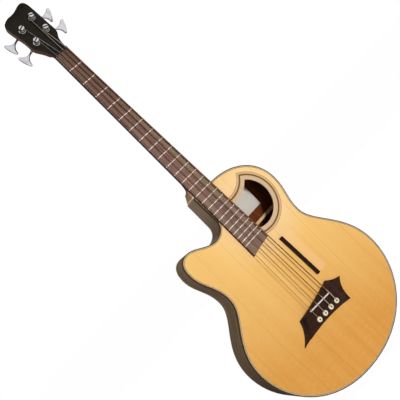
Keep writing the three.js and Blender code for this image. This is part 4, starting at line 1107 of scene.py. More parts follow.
def string_route(i, turn_steps=48):
    """Where a string runs, from its ball end over the saddle and the nut to the windings on its post."""
    name, radius, turns = STRINGS[i]
    side, post_up = POSTS[name]
    across, from_nut = pin_places()[i]
    hole_z = up(from_nut) + PIN_ROW["hole"] - CLEARANCE - radius
    saddle_z = up(slanted(across, SADDLE["thin"], SADDLE["thick"], SADDLE["length"] / 2))
    over_saddle = Vector((across, BRIDGE_FACE - SADDLE["stand_out"] - CLEARANCE - radius, saddle_z))
    in_hole = Vector((across, BRIDGE_FACE, hole_z))
    knee = Vector((across, BRIDGE_FACE - 2 * radius - CLEARANCE, hole_z))
    after_knee = knee.lerp(over_saddle, 0.3)
    route = [Vector((across, BALL_Y, hole_z))]
    route += [bend(in_hole, knee, after_knee, step / HOLE_BEND_STEPS) for step in range(HOLE_BEND_STEPS + 1)]
    route.append(over_saddle)
    nut_y = FRET_PLANE - STRING_HEIGHT_AT_NUT - radius
    over_nut = Vector((string_across(i, NUT_SPACING), nut_y, NUT_HEIGHT + NUT[0] / 2))
    route += [over_saddle.lerp(over_nut, step / SPAN_STEPS) for step in range(1, SPAN_STEPS)] + [over_nut]
    coil_radius = POST["waist"] + CLEARANCE + radius
    arrive_y = -(BUSHING["height"] + 2 * CLEARANCE + radius)
    climb = 2 * radius + TURN_GAP
    head = head_matrix()
    start = head.inverted() @ over_nut
    to_post = Vector((side * POST_ACROSS - start.x, post_up - start.z))
    lean = math.asin(coil_radius / to_post.length)
    first_angle = math.atan2(to_post.y, to_post.x) + side * (lean + math.pi / 2)
    for step in range(round(turns * turn_steps) + 1):
        angle = first_angle - side * 2 * math.pi * step / turn_steps
        x, z = side * POST_ACROSS + coil_radius * math.cos(angle), post_up + coil_radius * math.sin(angle)
        route.append(head @ Vector((x, arrive_y - climb * step / turn_steps, z)))
    return route


# Pieces


class BassPiece(bpy.types.Operator):
    """Shared settings of the operators that make pieces."""

    bl_options = {"REGISTER", "UNDO"}

    def execute(self, context):
        self.build(context.scene.bass_shapes)
        return {"FINISHED"}


class MakeTop(BassPiece):
    """Makes the spruce top with its sound hole, rosette, binding and purfling lines"""

    bl_idname = "bass_guitar.make_top"
    bl_label = "Top, rosette and binding"

    def build(self, shapes):
        edge = body_outline(shapes.outline_steps)
        binding = shapes.binding_width / MM
        lines = binding + shapes.purfling_width / MM
        inner = TOP_INNER_FACE
        rosette = combined(self.inlay("rosette", TOP_FACE), "DIFFERENCE", self.hole(TOP_FACE))
        finished(rosette, "rosette_wood", "rosette")
        top = coat(plate("soundboard", [inset(edge, lines), *pin_holes()], TOP_FACE, inner), "top_spruce")
        combined(top, "DIFFERENCE", self.hole(inner), self.inlay("seat", TOP_FACE - OVERRUN))
        coat(top, "top_spruce")
        second_coat(top, "brace_spruce", lambda centre, normal: normal.y > 0.9 and centre.y > inner - 0.5)
        keep(smoothed(top), "top_spruce", "soundboard")
        start = binding
        for name, finish, share in PURFLING:
            end = binding + (lines - binding) * share
            finished(band(f"purfling_{name}", edge, start, end, TOP_FACE, inner), finish, "soundboard", slot="binding")
            start = end
        depth = TOP_FACE + shapes.binding_depth / MM
        finished(band("top_binding", edge, 0.0, binding, TOP_FACE, depth, 0.5), "binding", "top_binding")

    @staticmethod
    def hole(depth):
        """What the sound hole takes out, down to a depth and a little further."""
        return plate("hole", [hole_outline(0, HOLE_STRAIGHT_EDGE)], TOP_FACE - OVERRUN, depth + OVERRUN)

    @staticmethod
    def inlay(name, front):
        """The rosette with the hole still filled, or its seat in the top."""
        return plate(name, [hole_outline(ROSETTE[0], ROSETTE_STRAIGHT_EDGE)], front, TOP_FACE + ROSETTE[1])


class MakeSides(BassPiece):
    """Makes the bent sides, the kerfed linings, the tail block, the back and the bare label inside"""

    bl_idname = "bass_guitar.make_sides"
    bl_label = "Sides, linings, back and label"

    def build(self, shapes):
        edge = body_outline(shapes.outline_steps)
        inner = TOP_INNER_FACE
        sides = coat(band("sides", edge, 0.0, SIDE, inner, back_seat), "side_wood")
        wide, deep = shapes.binding_width / MM + 0.05, TOP_FACE + shapes.binding_depth / MM
        rebate = band("rebate", edge, -OVERRUN, wide, inner - OVERRUN, deep)
        combined(sides, "DIFFERENCE", self.tenon_way(CLEARANCE, inner - OVERRUN), rebate, self.pin_way())
        coat(sides, "side_wood")
        second_coat(sides, "inside_wood", lambda centre, normal: gap_to(edge, centre.x, centre.z) > SIDE * 0.9)
        keep(smoothed(sides), "side_wood", "rim")
        self.lining("top_lining", edge, inner, inner + LINING["height"], shapes)
        self.lining("back_lining", edge, lambda x, z: back_inner_face(x, z) - LINING["height"], back_seat, shapes)
        tail, half = up(BODY_START + BODY_LENGTH) + SIDE / 2, TAIL_BLOCK["half_width"]
        tail_block = block("tail_block", -half, half, inner, BEHIND, tail, tail + TAIL_BLOCK["thickness"])
        combined(tail_block, "INTERSECT", plate("cap", [inset(edge, SIDE)], inner, back_seat))
        combined(tail_block, "DIFFERENCE", self.pin_way())
        finished(rounded(tail_block, 0.4), "brace_spruce", "rim")
        back = coat(plate("back_plate", [edge], back_inner_face, back_face, 0.9), "back_wood")
        second_coat(back, "inside_wood", lambda centre, normal: normal.y < -0.9)
        keep(smoothed(back), "side_wood", "back_plate")
        front = lambda x, z: back_seat(x, z) - BACK_LINE["height"]
        line = coat(band("back_line", edge, -0.02, BACK_LINE["thickness"], front, back_seat), "line_pale")
        combined(line, "DIFFERENCE", self.tenon_way(BACK_LINE["gap"], -BEHIND))
        finished(line, "line_pale", "rim", slot="side_wood")
        self.label(shapes)

    @staticmethod
    def tenon_way(gap, front):
        """The way through the sides for the neck's tenon, with a gap on either side of it."""
        half, top = TENON_HALF_WIDTH + gap, up(BODY_START)
        return block("way", -half, half, front, BEHIND, top - TENON_WAY, top + OVERRUN)

    @staticmethod
    def pin_way():
        """The way for the end pin, up through the side and the tail block."""
        return moved(rod("way", END_PIN["hole"], -10, 60, 32), Matrix.Rotation(math.pi / 2, 4, "X"))

    def lining(self, name, edge, front, back, shapes):
        """Small blocks with saw cuts between them, set round the inside of the sides."""
        outer, inner = inset(edge, SIDE), inset(edge, SIDE + LINING["width"])
        pitch, gap = shapes.kerf_pitch / MM, shapes.kerf_width / MM
        order = (0, 1, 2, 3, 4) if name == "top_lining" else (1, 0, 2, 3, 4)
        vertices, faces = [], []
        for i in range(len(edge)):
            j = (i + 1) % len(edge)
            run = (inner[j] - inner[i]).length
            blocks = max(1, round(run / pitch))
            for k in range(blocks):
                spans = (k / blocks + gap / 2 / run, (k + 1) / blocks - gap / 2 / run)
                at_neck = outer[i].y > up(BODY_START) - NECK_GAP and abs(outer[i].x) < NECK_GAP
                if spans[1] <= spans[0] or at_neck:
                    continue
                start = len(vertices)
                for share in spans:
                    wall, point = outer[i].lerp(outer[j], share), inner[i].lerp(inner[j], share)
                    near, far = at(front, *point), at(back, *point)
                    tip = wall.lerp(point, LINING["bevel"])
                    slim, deep = (near, far) if name == "top_lining" else (far, near)
                    rim = slim + (deep - slim) * LINING["slim"]
                    vertices += [(wall.x, near, wall.y), (wall.x, far, wall.y), (tip.x, deep, tip.y)]
                    vertices += [(point.x, rim, point.y), (point.x, slim, point.y)]
                ring = [start + o for o in order]
                other = [start + 5 + o for o in order]
                faces += [tuple(ring), tuple(reversed(other))]
                faces += [(ring[n], other[n], other[(n + 1) % 5], ring[(n + 1) % 5]) for n in range(5)]
        keep(coat(solid(name, vertices, faces), "lining_wood"), "brace_spruce", "rim")

    def label(self, shapes):
        """A bare sheet of paper that lies on the inside of the back, gently cockled."""
        wide, high = shapes.label_width / MM, shapes.label_height / MM
        left, top, columns, rows = LABEL["left"], up(LABEL["from_nut"]), LABEL["columns"], LABEL["rows"]
        vertices, faces = [], []
        for layer in range(2):
            for row in range(rows + 1):
                for column in range(columns + 1):
                    x = left + wide * column / columns
                    z = top - high * row / rows
                    lift = LABEL["lift"] + LABEL["wave"] * math.sin(x * 0.11) * math.sin(z * 0.17)
                    vertices.append((x, back_inner_face(x, z) - LABEL["gap"] - (lift if layer else 0.0), z))
        stride = columns + 1
        size = stride * (rows + 1)
        for row in range(rows):
            for column in range(columns):
                a = row * stride + column
                faces.append((a, a + 1, a + stride + 1, a + stride))
                faces.append((size + a, size + a + stride, size + a + stride + 1, size + a + 1))
        rim = [*range(columns)] + [columns + stride * r for r in range(rows)]
        rim += [stride * rows + c for c in range(columns, 0, -1)] + [stride * r for r in range(rows, 0, -1)]
        faces += [(a, b, b + size, a + size) for a, b in zip(rim, rim[1:] + rim[:1])]
        keep(coat(solid("label", vertices, faces), "paper"), "side_wood")


class FinishBracing(BassPiece):
    """Finishes the braces inside the body, which keep their CAD shapes"""

    bl_idname = "bass_guitar.finish_bracing"
    bl_label = "Bracing"

    def build(self, shapes):
        for name in ("top_bracing", "back_bracing"):
            coat(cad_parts[name], "brace_spruce")


def neck_ring(from_nut, half, depth, squareness, steps=28):
    """One section of the neck: flat under the fingerboard, rounded behind."""
    ring = []
    for i in range(steps + 1):
        angle = math.pi * i / steps
        x = half * math.copysign(abs(math.cos(angle)) ** (2 / squareness), math.cos(angle))
        ring.append(Vector((x, TOP_FACE + depth * max(math.sin(angle), 0.0) ** (2 / squareness), up(from_nut))))
    return ring


def blended_stations(stations, steps):
    """More stations between the given ones, on a smooth line that doesn't overshoot them."""
    result = [stations[0]]
    for i in range(len(stations) - 1):
        before, here, after, beyond = (stations[max(0, min(len(stations) - 1, i + k))] for k in (-1, 0, 1, 2))
        run = after[0] - here[0]
        for step in range(1, steps + 1):
            t = step / steps
            values = [here[0] + run * t]
            for a, b, c, d in zip(before[1:], here[1:], after[1:], beyond[1:]):
                slope = (c - b) / run
                lead = (b - a) / max(here[0] - before[0], 1e-6) if i else slope
                tail = (d - c) / max(beyond[0] - after[0], 1e-6) if i + 2 < len(stations) else slope
                first = 0.0 if lead * slope <= 0 else 2 * lead * slope / (lead + slope)
                second = 0.0 if tail * slope <= 0 else 2 * tail * slope / (tail + slope)
                cubic = (
                    (2 * t**3 - 3 * t**2 + 1) * b + (t**3 - 2 * t**2 + t) * run * first
                    + (3 * t**2 - 2 * t**3) * c + (t**3 - t**2) * run * second
                )
                values.append(cubic)
            result.append(tuple(values))
    return result


class MakeNeck(BassPiece):
    """Makes the neck with its heel, headstock core and the black face with the cover plate"""

    bl_idname = "bass_guitar.make_neck"
    bl_label = "Neck and headstock"

    def build(self, shapes):
        head = head_matrix()
        wood = shapes.wood_rounding / MM
        edge = smooth_outline(HEAD_KNOTS, shapes.outline_steps)
        stations = blended_stations(NECK_STATIONS, 5)
        rings = [neck_ring(s[0], half_width(max(s[0], 0)) + s[1], s[2], s[3]) for s in stations]
        root_depth = HEAD_THICKNESS - CLEARANCE - NECK_ROOT["front"]
        root = neck_ring(0, NECK_ROOT["half_width"], root_depth, NECK_ROOT["squareness"])
        rings.insert(0, [head @ Vector((p.x, p.y - TOP_FACE + NECK_ROOT["front"], NECK_ROOT["up"])) for p in root])
        neck = loft("neck", rings)
        core = plate("core", [edge], VENEER + CLEARANCE, HEAD_THICKNESS, wood)
        combined(core, "INTERSECT", self.run_out())
        rear = HEAD_THICKNESS + OVERRUN
        under = block("under", -NUT_WIDTH, NUT_WIDTH, NECK_ROOT["front"] + 1, rear, -OVERRUN, NECK_ROOT["core_start"])
        combined(core, "DIFFERENCE", under, *self.holes(VENEER - OVERRUN, rear, shapes))
        left, right, low = NECK_BLOCK[0], NECK_BLOCK[1], up(NECK_BLOCK[2])
        heel_block = block("heel_block", left, right, TOP_INNER_FACE, BEHIND, low, up(BODY_START + SIDE + CLEARANCE))
        tenon = (-TENON_HALF_WIDTH, TENON_HALF_WIDTH, TOP_FACE + 6.3, BEHIND, low, up(BODY_START) + 0.6)
        combined(heel_block, "UNION", block("tenon", *tenon))
        corners = [Vector((x, up(from_nut))) for x, from_nut in ((-60, 600), (60, 600), (60, 440), (-60, 440))]
        combined(heel_block, "INTERSECT", plate("room", [corners], TOP_INNER_FACE - OVERRUN, back_seat))
        combined(neck, "UNION", moved(core, head), heel_block)
        combined(neck, "DIFFERENCE", self.nut_space())
        finished(neck, "neck_wood", "neck", degrees=28)
        veneer = plate("headstock_veneer", [edge], 0.0, VENEER, 0.3)
        combined(veneer, "DIFFERENCE", *self.holes(-OVERRUN, OVERRUN, shapes))
        combined(moved(veneer, head), "DIFFERENCE", self.nut_space())
        finished(veneer, "black_lacquered_wood", "headstock_veneer")
        self.cover(head)

    @staticmethod
    def run_out():
        """Keeps the headstock as it is, and rounds its foot off towards the round of the neck."""
        rings = []
        for height, half, squareness in FOOT_RINGS:
            ring = neck_ring(0, half, HEAD_THICKNESS + NECK_ROOT["overlap"] + OVERRUN, squareness)
            rings.append([(p.x, p.y - TOP_FACE - OVERRUN, height) for p in ring])
        return loft("run_out", rings)

    @staticmethod
    def holes(front, back, shapes):
        """What the tuning machines' sleeves need taken out of the headstock."""
        bar = (BUSHING["outer"] + CLEARANCE, front, back, shapes.round_sides)
        return [rod("hole", *bar, side * POST_ACROSS, height) for side, height in POSTS.values()]

    @staticmethod
    def nut_space():
        low, high = NUT_HEIGHT - OVERRUN, NUT_HEIGHT + NUT[0] + CLEARANCE
        return block("nut_space", -NUT_WIDTH, NUT_WIDTH, FRET_PLANE - OVERRUN, TOP_FACE, low, high)

    @staticmethod
    def cover(head):
        """The cover plate over the truss rod's nut, with its three screws."""
        start, top = ROD_COVER["start"], ROD_COVER["start"] + ROD_COVER["length"]
        wide, narrow = ROD_COVER["wide"] / 2, ROD_COVER["narrow"] / 2
        middle, shoulder = ROD_COVER["length"] / 2, top - ROD_COVER["corner"]
        knots = [
            (wide, start, 90, 0, middle),
            (narrow, shoulder, 90, middle - 3, 2),
            (0, top, 180, 3, 3),
            (-narrow, shoulder, -90, 2, middle - 3),
            (-wide, start, -90, middle, 0),
        ]
        front, back = -ROD_COVER["thickness"] - CLEARANCE, -CLEARANCE
        cover = plate("truss_rod_cover", [smooth_outline(knots, 12)], front, back, 0.45)
        finished(moved(cover, head), "black_cover", "truss_rod_cover")
        for number, (x, z) in enumerate(((-6.5, start + 4), (6.5, start + 4), (0, top - 5))):
            screw = small_screw(f"cover_screw_{number + 1}", 1.5, 0.7)
            finished(moved(screw, head @ Matrix.Translation((x, front + 0.05, z))), "black_nut")


def small_screw(name, radius, height):
    """A domed cross-head screw, seen from -Y, that sits on y = 0."""
    dome = [(radius * math.sin(a), -height * math.cos(a)) for a in (0.4, 0.8, 1.2, 1.5)]
    screw = turned(name, [(0, -height), *dome, (radius, 0.6), (0, 0.6)], 24)
    return combined(screw, "DIFFERENCE", *crossed("slot", radius * 0.6, radius * 0.12, -height - 1, -height * 0.45))


class MakeFingerboard(BassPiece):
    """Makes the fingerboard, its frets and the dots on its edge"""

    bl_idname = "bass_guitar.make_fingerboard"
    bl_label = "Fingerboard and frets"

    def build(self, shapes):
        thin, thick, hollow = FINGERBOARD_END
        left = Vector((-half_width(thin), up(thin)))
        right = Vector((half_width(thick), up(thick)))
        pull = Vector((0, up((thin + thick) / 2 - hollow)))
        end = [bend(left, pull, right, i / 24) for i in range(25)]
        outline = [Vector((-NUT_WIDTH / 2, NUT_HEIGHT)), *end, Vector((NUT_WIDTH / 2, NUT_HEIGHT))]
        board = coat(plate("fingerboard", [outline], BOARD_FACE, TOP_FACE, 0.35), "fingerboard_wood")
        # Painted shade: the side faces take the darker edge finish
        second_coat(board, "fingerboard_edge", lambda centre, normal: abs(normal.x) > 0.5)
        keep(smoothed(board), "fingerboard_wood", "fingerboard")
        for number in range(1, FRET_COUNT + 1):
            self.fret(number)
        self.dots(shapes)

    @staticmethod
    def from_nut(number):
        return SCALE * (1 - 2 ** (-number / 12))

    def fret(self, number):
        """A crowned wire with bevelled ends."""
        place = self.from_nut(number)
        half, thick, height = half_width(place) - 0.4, CROWN[0] / 2, up(place)
        ends = ((0.0, 0.35), (0.5, 0.8), (1.2, 1.0))
        rings = []
        for x, share in [(inward - half, share) for inward, share in ends] + [(half - i, s) for i, s in reversed(ends)]:
            ring = [(x, BOARD_FACE + 0.01, height - thick), (x, BOARD_FACE + 0.01, height + thick)]
            for angle in (math.pi * step / 12 for step in range(1, 12)):
                ring.append((x, BOARD_FACE - CROWN[1] * share * math.sin(angle), height + thick * math.cos(angle)))
            rings.append(ring)
        node = f"fret_{number:02d}"
        finished(loft(node, rings), "fret_metal", node, degrees=50)

    def dots(self, shapes):
        """Small discs let into the edge of the fingerboard on the thick strings' side."""
        radius = shapes.dot_radius / MM
        depth = TOP_FACE - FINGERBOARD / 2
        for number in DOTTED_FRETS:
            middle = (self.from_nut(number) + self.from_nut(number - 1)) / 2
            for order, shift in enumerate((0.0,) if number % 12 else (-4.0, 4.0)):
                place = middle + shift
                dot = coat(rod(f"side_dot_{number:02d}_{order}", radius, -0.05, 1, 20), "dot_plastic")
                keep(moved(dot, placing((half_width(place), depth, up(place)), math.pi / 2, "Z")), "pin_plastic")


class MakeBridge(BassPiece):
    """Makes the bridge, saddle, nut and bridge pins"""

    bl_idname = "bass_guitar.make_bridge"
    bl_label = "Bridge, saddle, nut and pins"

    def build(self, shapes):
        outline = []
        for i, (x, from_nut, middle_x, middle_nut) in enumerate(BRIDGE_CORNERS):
            next_x, next_nut = BRIDGE_CORNERS[(i + 1) % len(BRIDGE_CORNERS)][:2]
            start, end = Vector((x, up(from_nut))), Vector((next_x, up(next_nut)))
            pull = 2 * Vector((middle_x, up(middle_nut))) - (start + end) / 2
            outline += [bend(start, pull, end, step / 16) for step in range(16)]
        bridge = plate("bridge", [outline, *pin_holes()], BRIDGE_FACE, TOP_FACE)
        wings = [self.wing_cut(*slope) for slope in WING_SLOPES]
        combined(bridge, "DIFFERENCE", self.rear_cut(), *wings, self.saddle_bar(CLEARANCE))
        finished(rounded(bridge, shapes.bridge_rounding / MM, 2, 32), "bridge_wood", "bridge", degrees=30)
        finished(rounded(self.saddle_bar(0), 1.0, 3), "saddle_bone", "saddle")
        self.nut()
        for i in range(len(STRINGS)):
            self.pin(i, shapes)

    @staticmethod
    def wing_cut(across, from_nut, lean, low, high):
        """What is taken off above a wing, with a slope up to the middle."""
        face, wing, reach = BRIDGE_FACE, TOP_FACE - WING_HEIGHT, math.copysign(90, low)
        profile = [(reach, wing), (low, wing)]
        for step in range(1, 13):
            t = step / 12
            profile.append((low + (high - low) * t, wing + (face - wing) * (3 * t**2 - 2 * t**3)))
        profile += [(high, face - OVERRUN), (reach, face - OVERRUN)]
        cut = loft("wing_cut", [[(x, y, z) for x, y in profile] for z in (-80, 80)])
        return moved(cut, placing((across, 0, up(from_nut)), lean, "Y"))

    @staticmethod
    def rear_cut():
        """What is taken off above the straight slope behind the pins."""
        face, wing = BRIDGE_FACE, TOP_FACE - WING_HEIGHT
        start, end = (up(place) for place in BRIDGE_REAR_SLOPE)
        profile = [(face + (wing - face) * t, start + (end - start) * t) for t in (step / 8 for step in range(9))]
        profile += [(wing, end - 30), (face - OVERRUN, end - 30), (face - OVERRUN, start)]
        return loft("rear_cut", [[(x, y, z) for y, z in profile] for x in (-140, 140)])

    @staticmethod
    def saddle_bar(grown):
        """The saddle, or its slot when grown by a clearance."""
        top, floor = BRIDGE_FACE - SADDLE["stand_out"], BRIDGE_FACE + SADDLE["slot"] + grown
        half, width = SADDLE["length"] / 2 + grown, SADDLE["thickness"] / 2 + grown
        bar = block("saddle", -half, half, top, floor, -width, width)
        slant = math.atan2(SADDLE["thick"] - SADDLE["thin"], SADDLE["length"])
        return moved(bar, placing((0, 0, up((SADDLE["thin"] + SADDLE["thick"]) / 2)), slant, "Y"))

    @staticmethod
    def nut():
        """The nut, with a slot that clears each string."""
        top = FRET_PLANE - STRING_HEIGHT_AT_NUT - STRINGS[0][1]
        outline = rounded_rectangle(-NUT_WIDTH / 2, NUT_WIDTH / 2, top, TOP_FACE, NUT[1])
        piece = loft("nut", [[(*p, z) for p in outline] for z in (NUT_HEIGHT, NUT_HEIGHT + NUT[0])])
        for i, (_, radius, _) in enumerate(STRINGS):
            before, middle, after = string_route(i)[NUT_POINT - 1:NUT_POINT + 2]
            near, far = (middle.lerp(other, 12 / (other - middle).length) for other in (before, after))
            combined(piece, "DIFFERENCE", tube("slot", [near, middle, far], radius + CLEARANCE, 16))
        finished(piece, "black_nut", "nut")

    @staticmethod
    def grooves(i):
        """Straight bars that clear the string's way up through the hole and over towards the saddle."""
        route = string_route(i)
        rise, bend_end, over_saddle = route[1], route[HOLE_BEND_STEPS + 1], route[HOLE_BEND_STEPS + 2]
        heading = (over_saddle - bend_end).normalized()
        knee = bend_end - heading * ((bend_end.z - rise.z) / heading.z)
        bars = ((route[0] + Vector((0, 1, 0)), knee), (rise, bend_end), (knee, over_saddle))
        return [tube("groove", bar, STRINGS[i][1] + CLEARANCE, 16) for bar in bars]

    def pin(self, i, shapes):
        """A bridge pin with a domed head, a collar and a groove for its string."""
        x, from_nut = pin_places()[i]
        top, head, height = BRIDGE_FACE, PIN["head"], PIN["height"]
        angles = (0.25, 0.55, 0.85, 1.15, 1.4, 1.57)
        dome = [(head * math.sin(a), top - height * (0.45 + 0.55 * math.cos(a))) for a in angles]
        profile = [(0, top - height), *dome, (head, top - 0.3), (head - 0.4, top), (PIN["shaft"], top)]
        profile += [(PIN["tip"], PIN["tip_y"]), (0, PIN["tip_y"])]
        node = f"bridge_pin_{STRINGS[i][0]}"
        pin = turned(node, profile, shapes.round_sides, x, up(from_nut))
        combined(pin, "DIFFERENCE", *self.grooves(i))
        middle = Vector((x * MM, up(from_nut) * MM))
        marked(pin.data, "from_axis", [(Vector((v.co.x, v.co.z)) - middle).length for v in pin.data.vertices])
        finished(pin, "pin_plastic", node)


class MakeSmallParts(BassPiece):
    """Makes the thumb rest and the end pin"""

    bl_idname = "bass_guitar.make_small_parts"
    bl_label = "Thumb rest and end pin"

    def build(self, shapes):
        half, long, height = THUMB_REST["width"] / 2, THUMB_REST["length"] / 2, THUMB_REST["height"]
        outline = rounded_rectangle(-half, half, -long, long, 2.0)
        place = placing((THUMB_REST["across"], TOP_FACE - height, up(THUMB_REST["from_nut"])), THUMB_REST["lean"], "Y")
        rest = moved(plate("thumb_rest", [outline], 0, height, 1.4), place)
        finished(rest, "thumb_rest_wood", "thumb_rest", degrees=40)
        face, waist, rim, base = (END_PIN[part] for part in ("face", "waist", "rim", "base"))
        seat = END_PIN["stand_out"] - CLEARANCE
        end = seat + END_PIN["reach"]
        profile = [(0, 0), (face, 0), (face, rim), (waist, rim + 1.5), (waist, seat - base - 1)]
        profile += [(face, seat - base), (face, seat), (waist, seat), (waist, end), (0, end)]
        pin = turned("end_pin", softened(profile, 1.0), shapes.round_sides)
        finished(moved(pin, Matrix.Rotation(math.pi / 2, 4, "X")), "chrome", "end_pin", degrees=50)


class MakeStrings(BassPiece):
    """Makes the four wound strings with their ball ends"""

    bl_idname = "bass_guitar.make_strings"
    bl_label = "Strings"

    def build(self, shapes):
        for i, (name, radius, _) in enumerate(STRINGS):
            node = f"string_{name}"
            finished(tube(node, string_route(i), radius, shapes.string_sides), "string_bronze", node, degrees=60)
            x, from_nut = pin_places()[i]
            z = up(from_nut) + PIN_ROW["hole"] - CLEARANCE - radius
            profile = softened([(0, BALL_Y - 5), (2.8, BALL_Y - 5), (2.8, BALL_Y), (0, BALL_Y)], 0.6)
            finished(turned(f"ball_end_{name}", profile, 20, x, z), "fret_metal", node, slot="string_bronze")


class MakeTuners(BassPiece):
    """Makes the four tuning machines: base plates with bearings, posts with worm wheels, and keys with worms"""

    bl_idname = "bass_guitar.make_tuners"
    bl_label = "Tuning machines"

    def build(self, shapes):
        for name, (side, _) in POSTS.items():
            place = machine_matrix(name)
            parts = (
                (self.base_plate(name, shapes), f"tuner_plate_{name}", "instrument"),
                (self.post(name, shapes), f"tuner_post_{name}", f"post_{name}"),
                (self.key(name, KEY_REST_TURN[side], shapes), f"tuner_key_{name}", f"key_{name}"),
            )
            for piece, node, body in parts:
                coat(piece, "chrome")
                if node.startswith("tuner_post"):
                    # Painted shade: the slot and bore of each post's crown take a dark finish
                    second_coat(piece, "milled_metal", self.inside_slot)
                moved(piece, place)
                keep(smoothed(piece, 35), "chrome", node, body=body)
            self.screws(name, place)

    @staticmethod
    def base_plate(name, shapes):
        """The plate under the headstock with two bearing ears and the sleeve that comes out at the front."""
        thickness, height = BASE_PLATE["thickness"], BUSHING["height"]
        middle, rounding = PLATE_BACK - thickness / 2, shapes.metal_rounding / MM
        outline = rounded_rectangle(*(BASE_PLATE[part] for part in ("left", "right", "bottom", "top")), 3.0)
        sheet = plate(f"tuner_plate_{name}", [outline], PLATE_BACK - thickness, PLATE_BACK, rounding)
        half = BEARING["half"]
        section = [(CENTRES - half, middle), (CENTRES + half, middle)]
        for angle in (math.pi * i / 16 for i in range(17)):
            section.append((CENTRES + half * math.cos(angle), SHAFT_DEPTH + half * math.sin(angle)))
        for along in (-BEARING["centre"], BEARING["centre"]):
            spans = (along - BEARING["thickness"] / 2, along + BEARING["thickness"] / 2)
            ear = loft("ear", [[(x, y, z) for z, y in section] for x in spans])
            combined(sheet, "UNION", rounded(ear, rounding))
        front, flange, outer = -CLEARANCE - height, BUSHING["flange"], BUSHING["outer"]
        sleeve = [(0, front), (flange, front), (flange, -CLEARANCE), (outer, -CLEARANCE), (outer, middle), (0, middle)]
        combined(sheet, "UNION", turned("sleeve", softened(sleeve, 0.7), shapes.round_sides))
        bore = rod("bore", BUSHING["inner"], -OVERRUN, PLATE_BACK + OVERRUN, shapes.round_sides)
        shaft_way = rod("way", WORM["root"] + CLEARANCE, -20, 20, 32)
        moved(shaft_way, placing((0, SHAFT_DEPTH, CENTRES), math.pi / 2, "Z"))
        return combined(sheet, "DIFFERENCE", bore, shaft_way)

    @staticmethod
    def wheel():
        """A wheel with slanted teeth that follow the worm's thread."""
        lead = math.atan2(THREAD_PITCH, 2 * math.pi * WORM["pitch"])
        tip = TOOTH_WIDTH * (1 - TOOTH_LEAN) / 2 / TOOTH_OUTER
        root = TOOTH_WIDTH * (1 + TOOTH_LEAN) / 2 / TOOTH_ROOT
        rings = []
        for step in range(5):
            y = WHEEL_FRONT + WHEEL_WIDTH * step / 4
            twist = math.tan(lead) * (y - SHAFT_DEPTH) / WHEEL_PITCH_RADIUS
            ring = []
            for tooth in range(TEETH):
                middle = 2 * math.pi * (tooth + 0.5) / TEETH + twist
                corners = ((TOOTH_ROOT, -root), (TOOTH_OUTER, -tip), (TOOTH_OUTER, tip), (TOOTH_ROOT, root))
                for radius, offset in corners:
                    ring.append((radius * math.sin(middle + offset), y, radius * math.cos(middle + offset)))
            rings.append(ring)
        return loft("wheel", rings)

    @staticmethod
    def inside_slot(centre, _):
        """Tells whether a face lies in the slot or the bore of a post's crown."""
        deep, away = centre.y + POST["top"], math.hypot(centre.x, centre.z)
        in_slot = abs(centre.z) < POST_SLOT["half_width"] + 0.05 and away < POST["crown"] - 0.4
        return 0.1 < deep < POST["bore_depth"] + 0.1 and (in_slot or away < POST["bore"] + 0.1)

    def post(self, name, shapes):
        """The string post: a waisted drum with a slotted, bored crown, and its worm wheel at the back."""
        radius, waist, crown = POST["radius"], POST["waist"], POST["crown"]
        front, neck, top = -BUSHING["height"] - CLEARANCE, -POST["waist_top"], -POST["top"]
        rear = WHEEL_FRONT + WHEEL_WIDTH
        profile = [(0, rear + 1.4), (3, rear + 1.4), (3, rear - 1), (radius, rear - 1), (radius, front)]
        profile += [(waist, front - 0.3), (waist, neck), (crown, neck - 1), (crown, top), (0, top)]
        piece = turned(f"tuner_post_{name}", softened(profile, 0.8), shapes.round_sides)
        half = POST_SLOT["half_width"]
        slot = block("slot", -10, 10, top - OVERRUN, top + POST_SLOT["depth"], -half, half)
        combined(piece, "DIFFERENCE", slot, rod("bore", POST["bore"], top - OVERRUN, top + POST["bore_depth"], 24))
        combined(piece, "UNION", self.wheel())
        return combined(piece, "DIFFERENCE", *crossed("cross", 2.2, 0.4, rear + 0.8, rear + 3))

    @staticmethod
    def thread(steps=28):
        """The worm's thread, a ridge swept round its shaft."""
        root, tip = TOOTH_WIDTH * (1 + TOOTH_LEAN) / 2, TOOTH_WIDTH * (1 - TOOTH_LEAN) / 2
        inner, outer = WORM["root"] - CLEARANCE, WORM["outer"]
        rings = []
        for step in range(WORM["turns"] * steps + 1):
            angle = 2 * math.pi * step / steps + math.pi * (WORM["turns"] % 2)
            along = THREAD_PITCH * (step / steps - WORM["turns"] / 2)
            rings.append([
                (along + offset, SHAFT_DEPTH + radius * math.sin(angle), CENTRES - radius * math.cos(angle))
                for radius, offset in ((inner, -root), (outer, -tip), (outer, tip), (inner, root))
            ])
        return loft("thread", rings)

    @staticmethod
    def paddle(sides=40, fullness=2.6):
        """The key's paddle: wide rounded rims round a nearly flat face, in sections along the shaft."""
        end, rim = PADDLE_KNOTS[-1][0], PADDLE_THICKNESS
        rings = []
        for along, half in smooth_outline(PADDLE_KNOTS, 10)[:-1]:
            past = max(0.0, along - (end - rim)) / rim
            thick = PADDLE_THICKNESS / 2 * (1 - past**fullness) ** (1 / fullness)
            ring = []
            for angle in (2 * math.pi * side / sides for side in range(sides)):
                c, s = (math.copysign(abs(v) ** (2 / fullness), v) for v in (math.cos(angle), math.sin(angle)))
                ring.append((along, s * thick, c * half))
            rings.append(ring)
        return loft("paddle", rings)

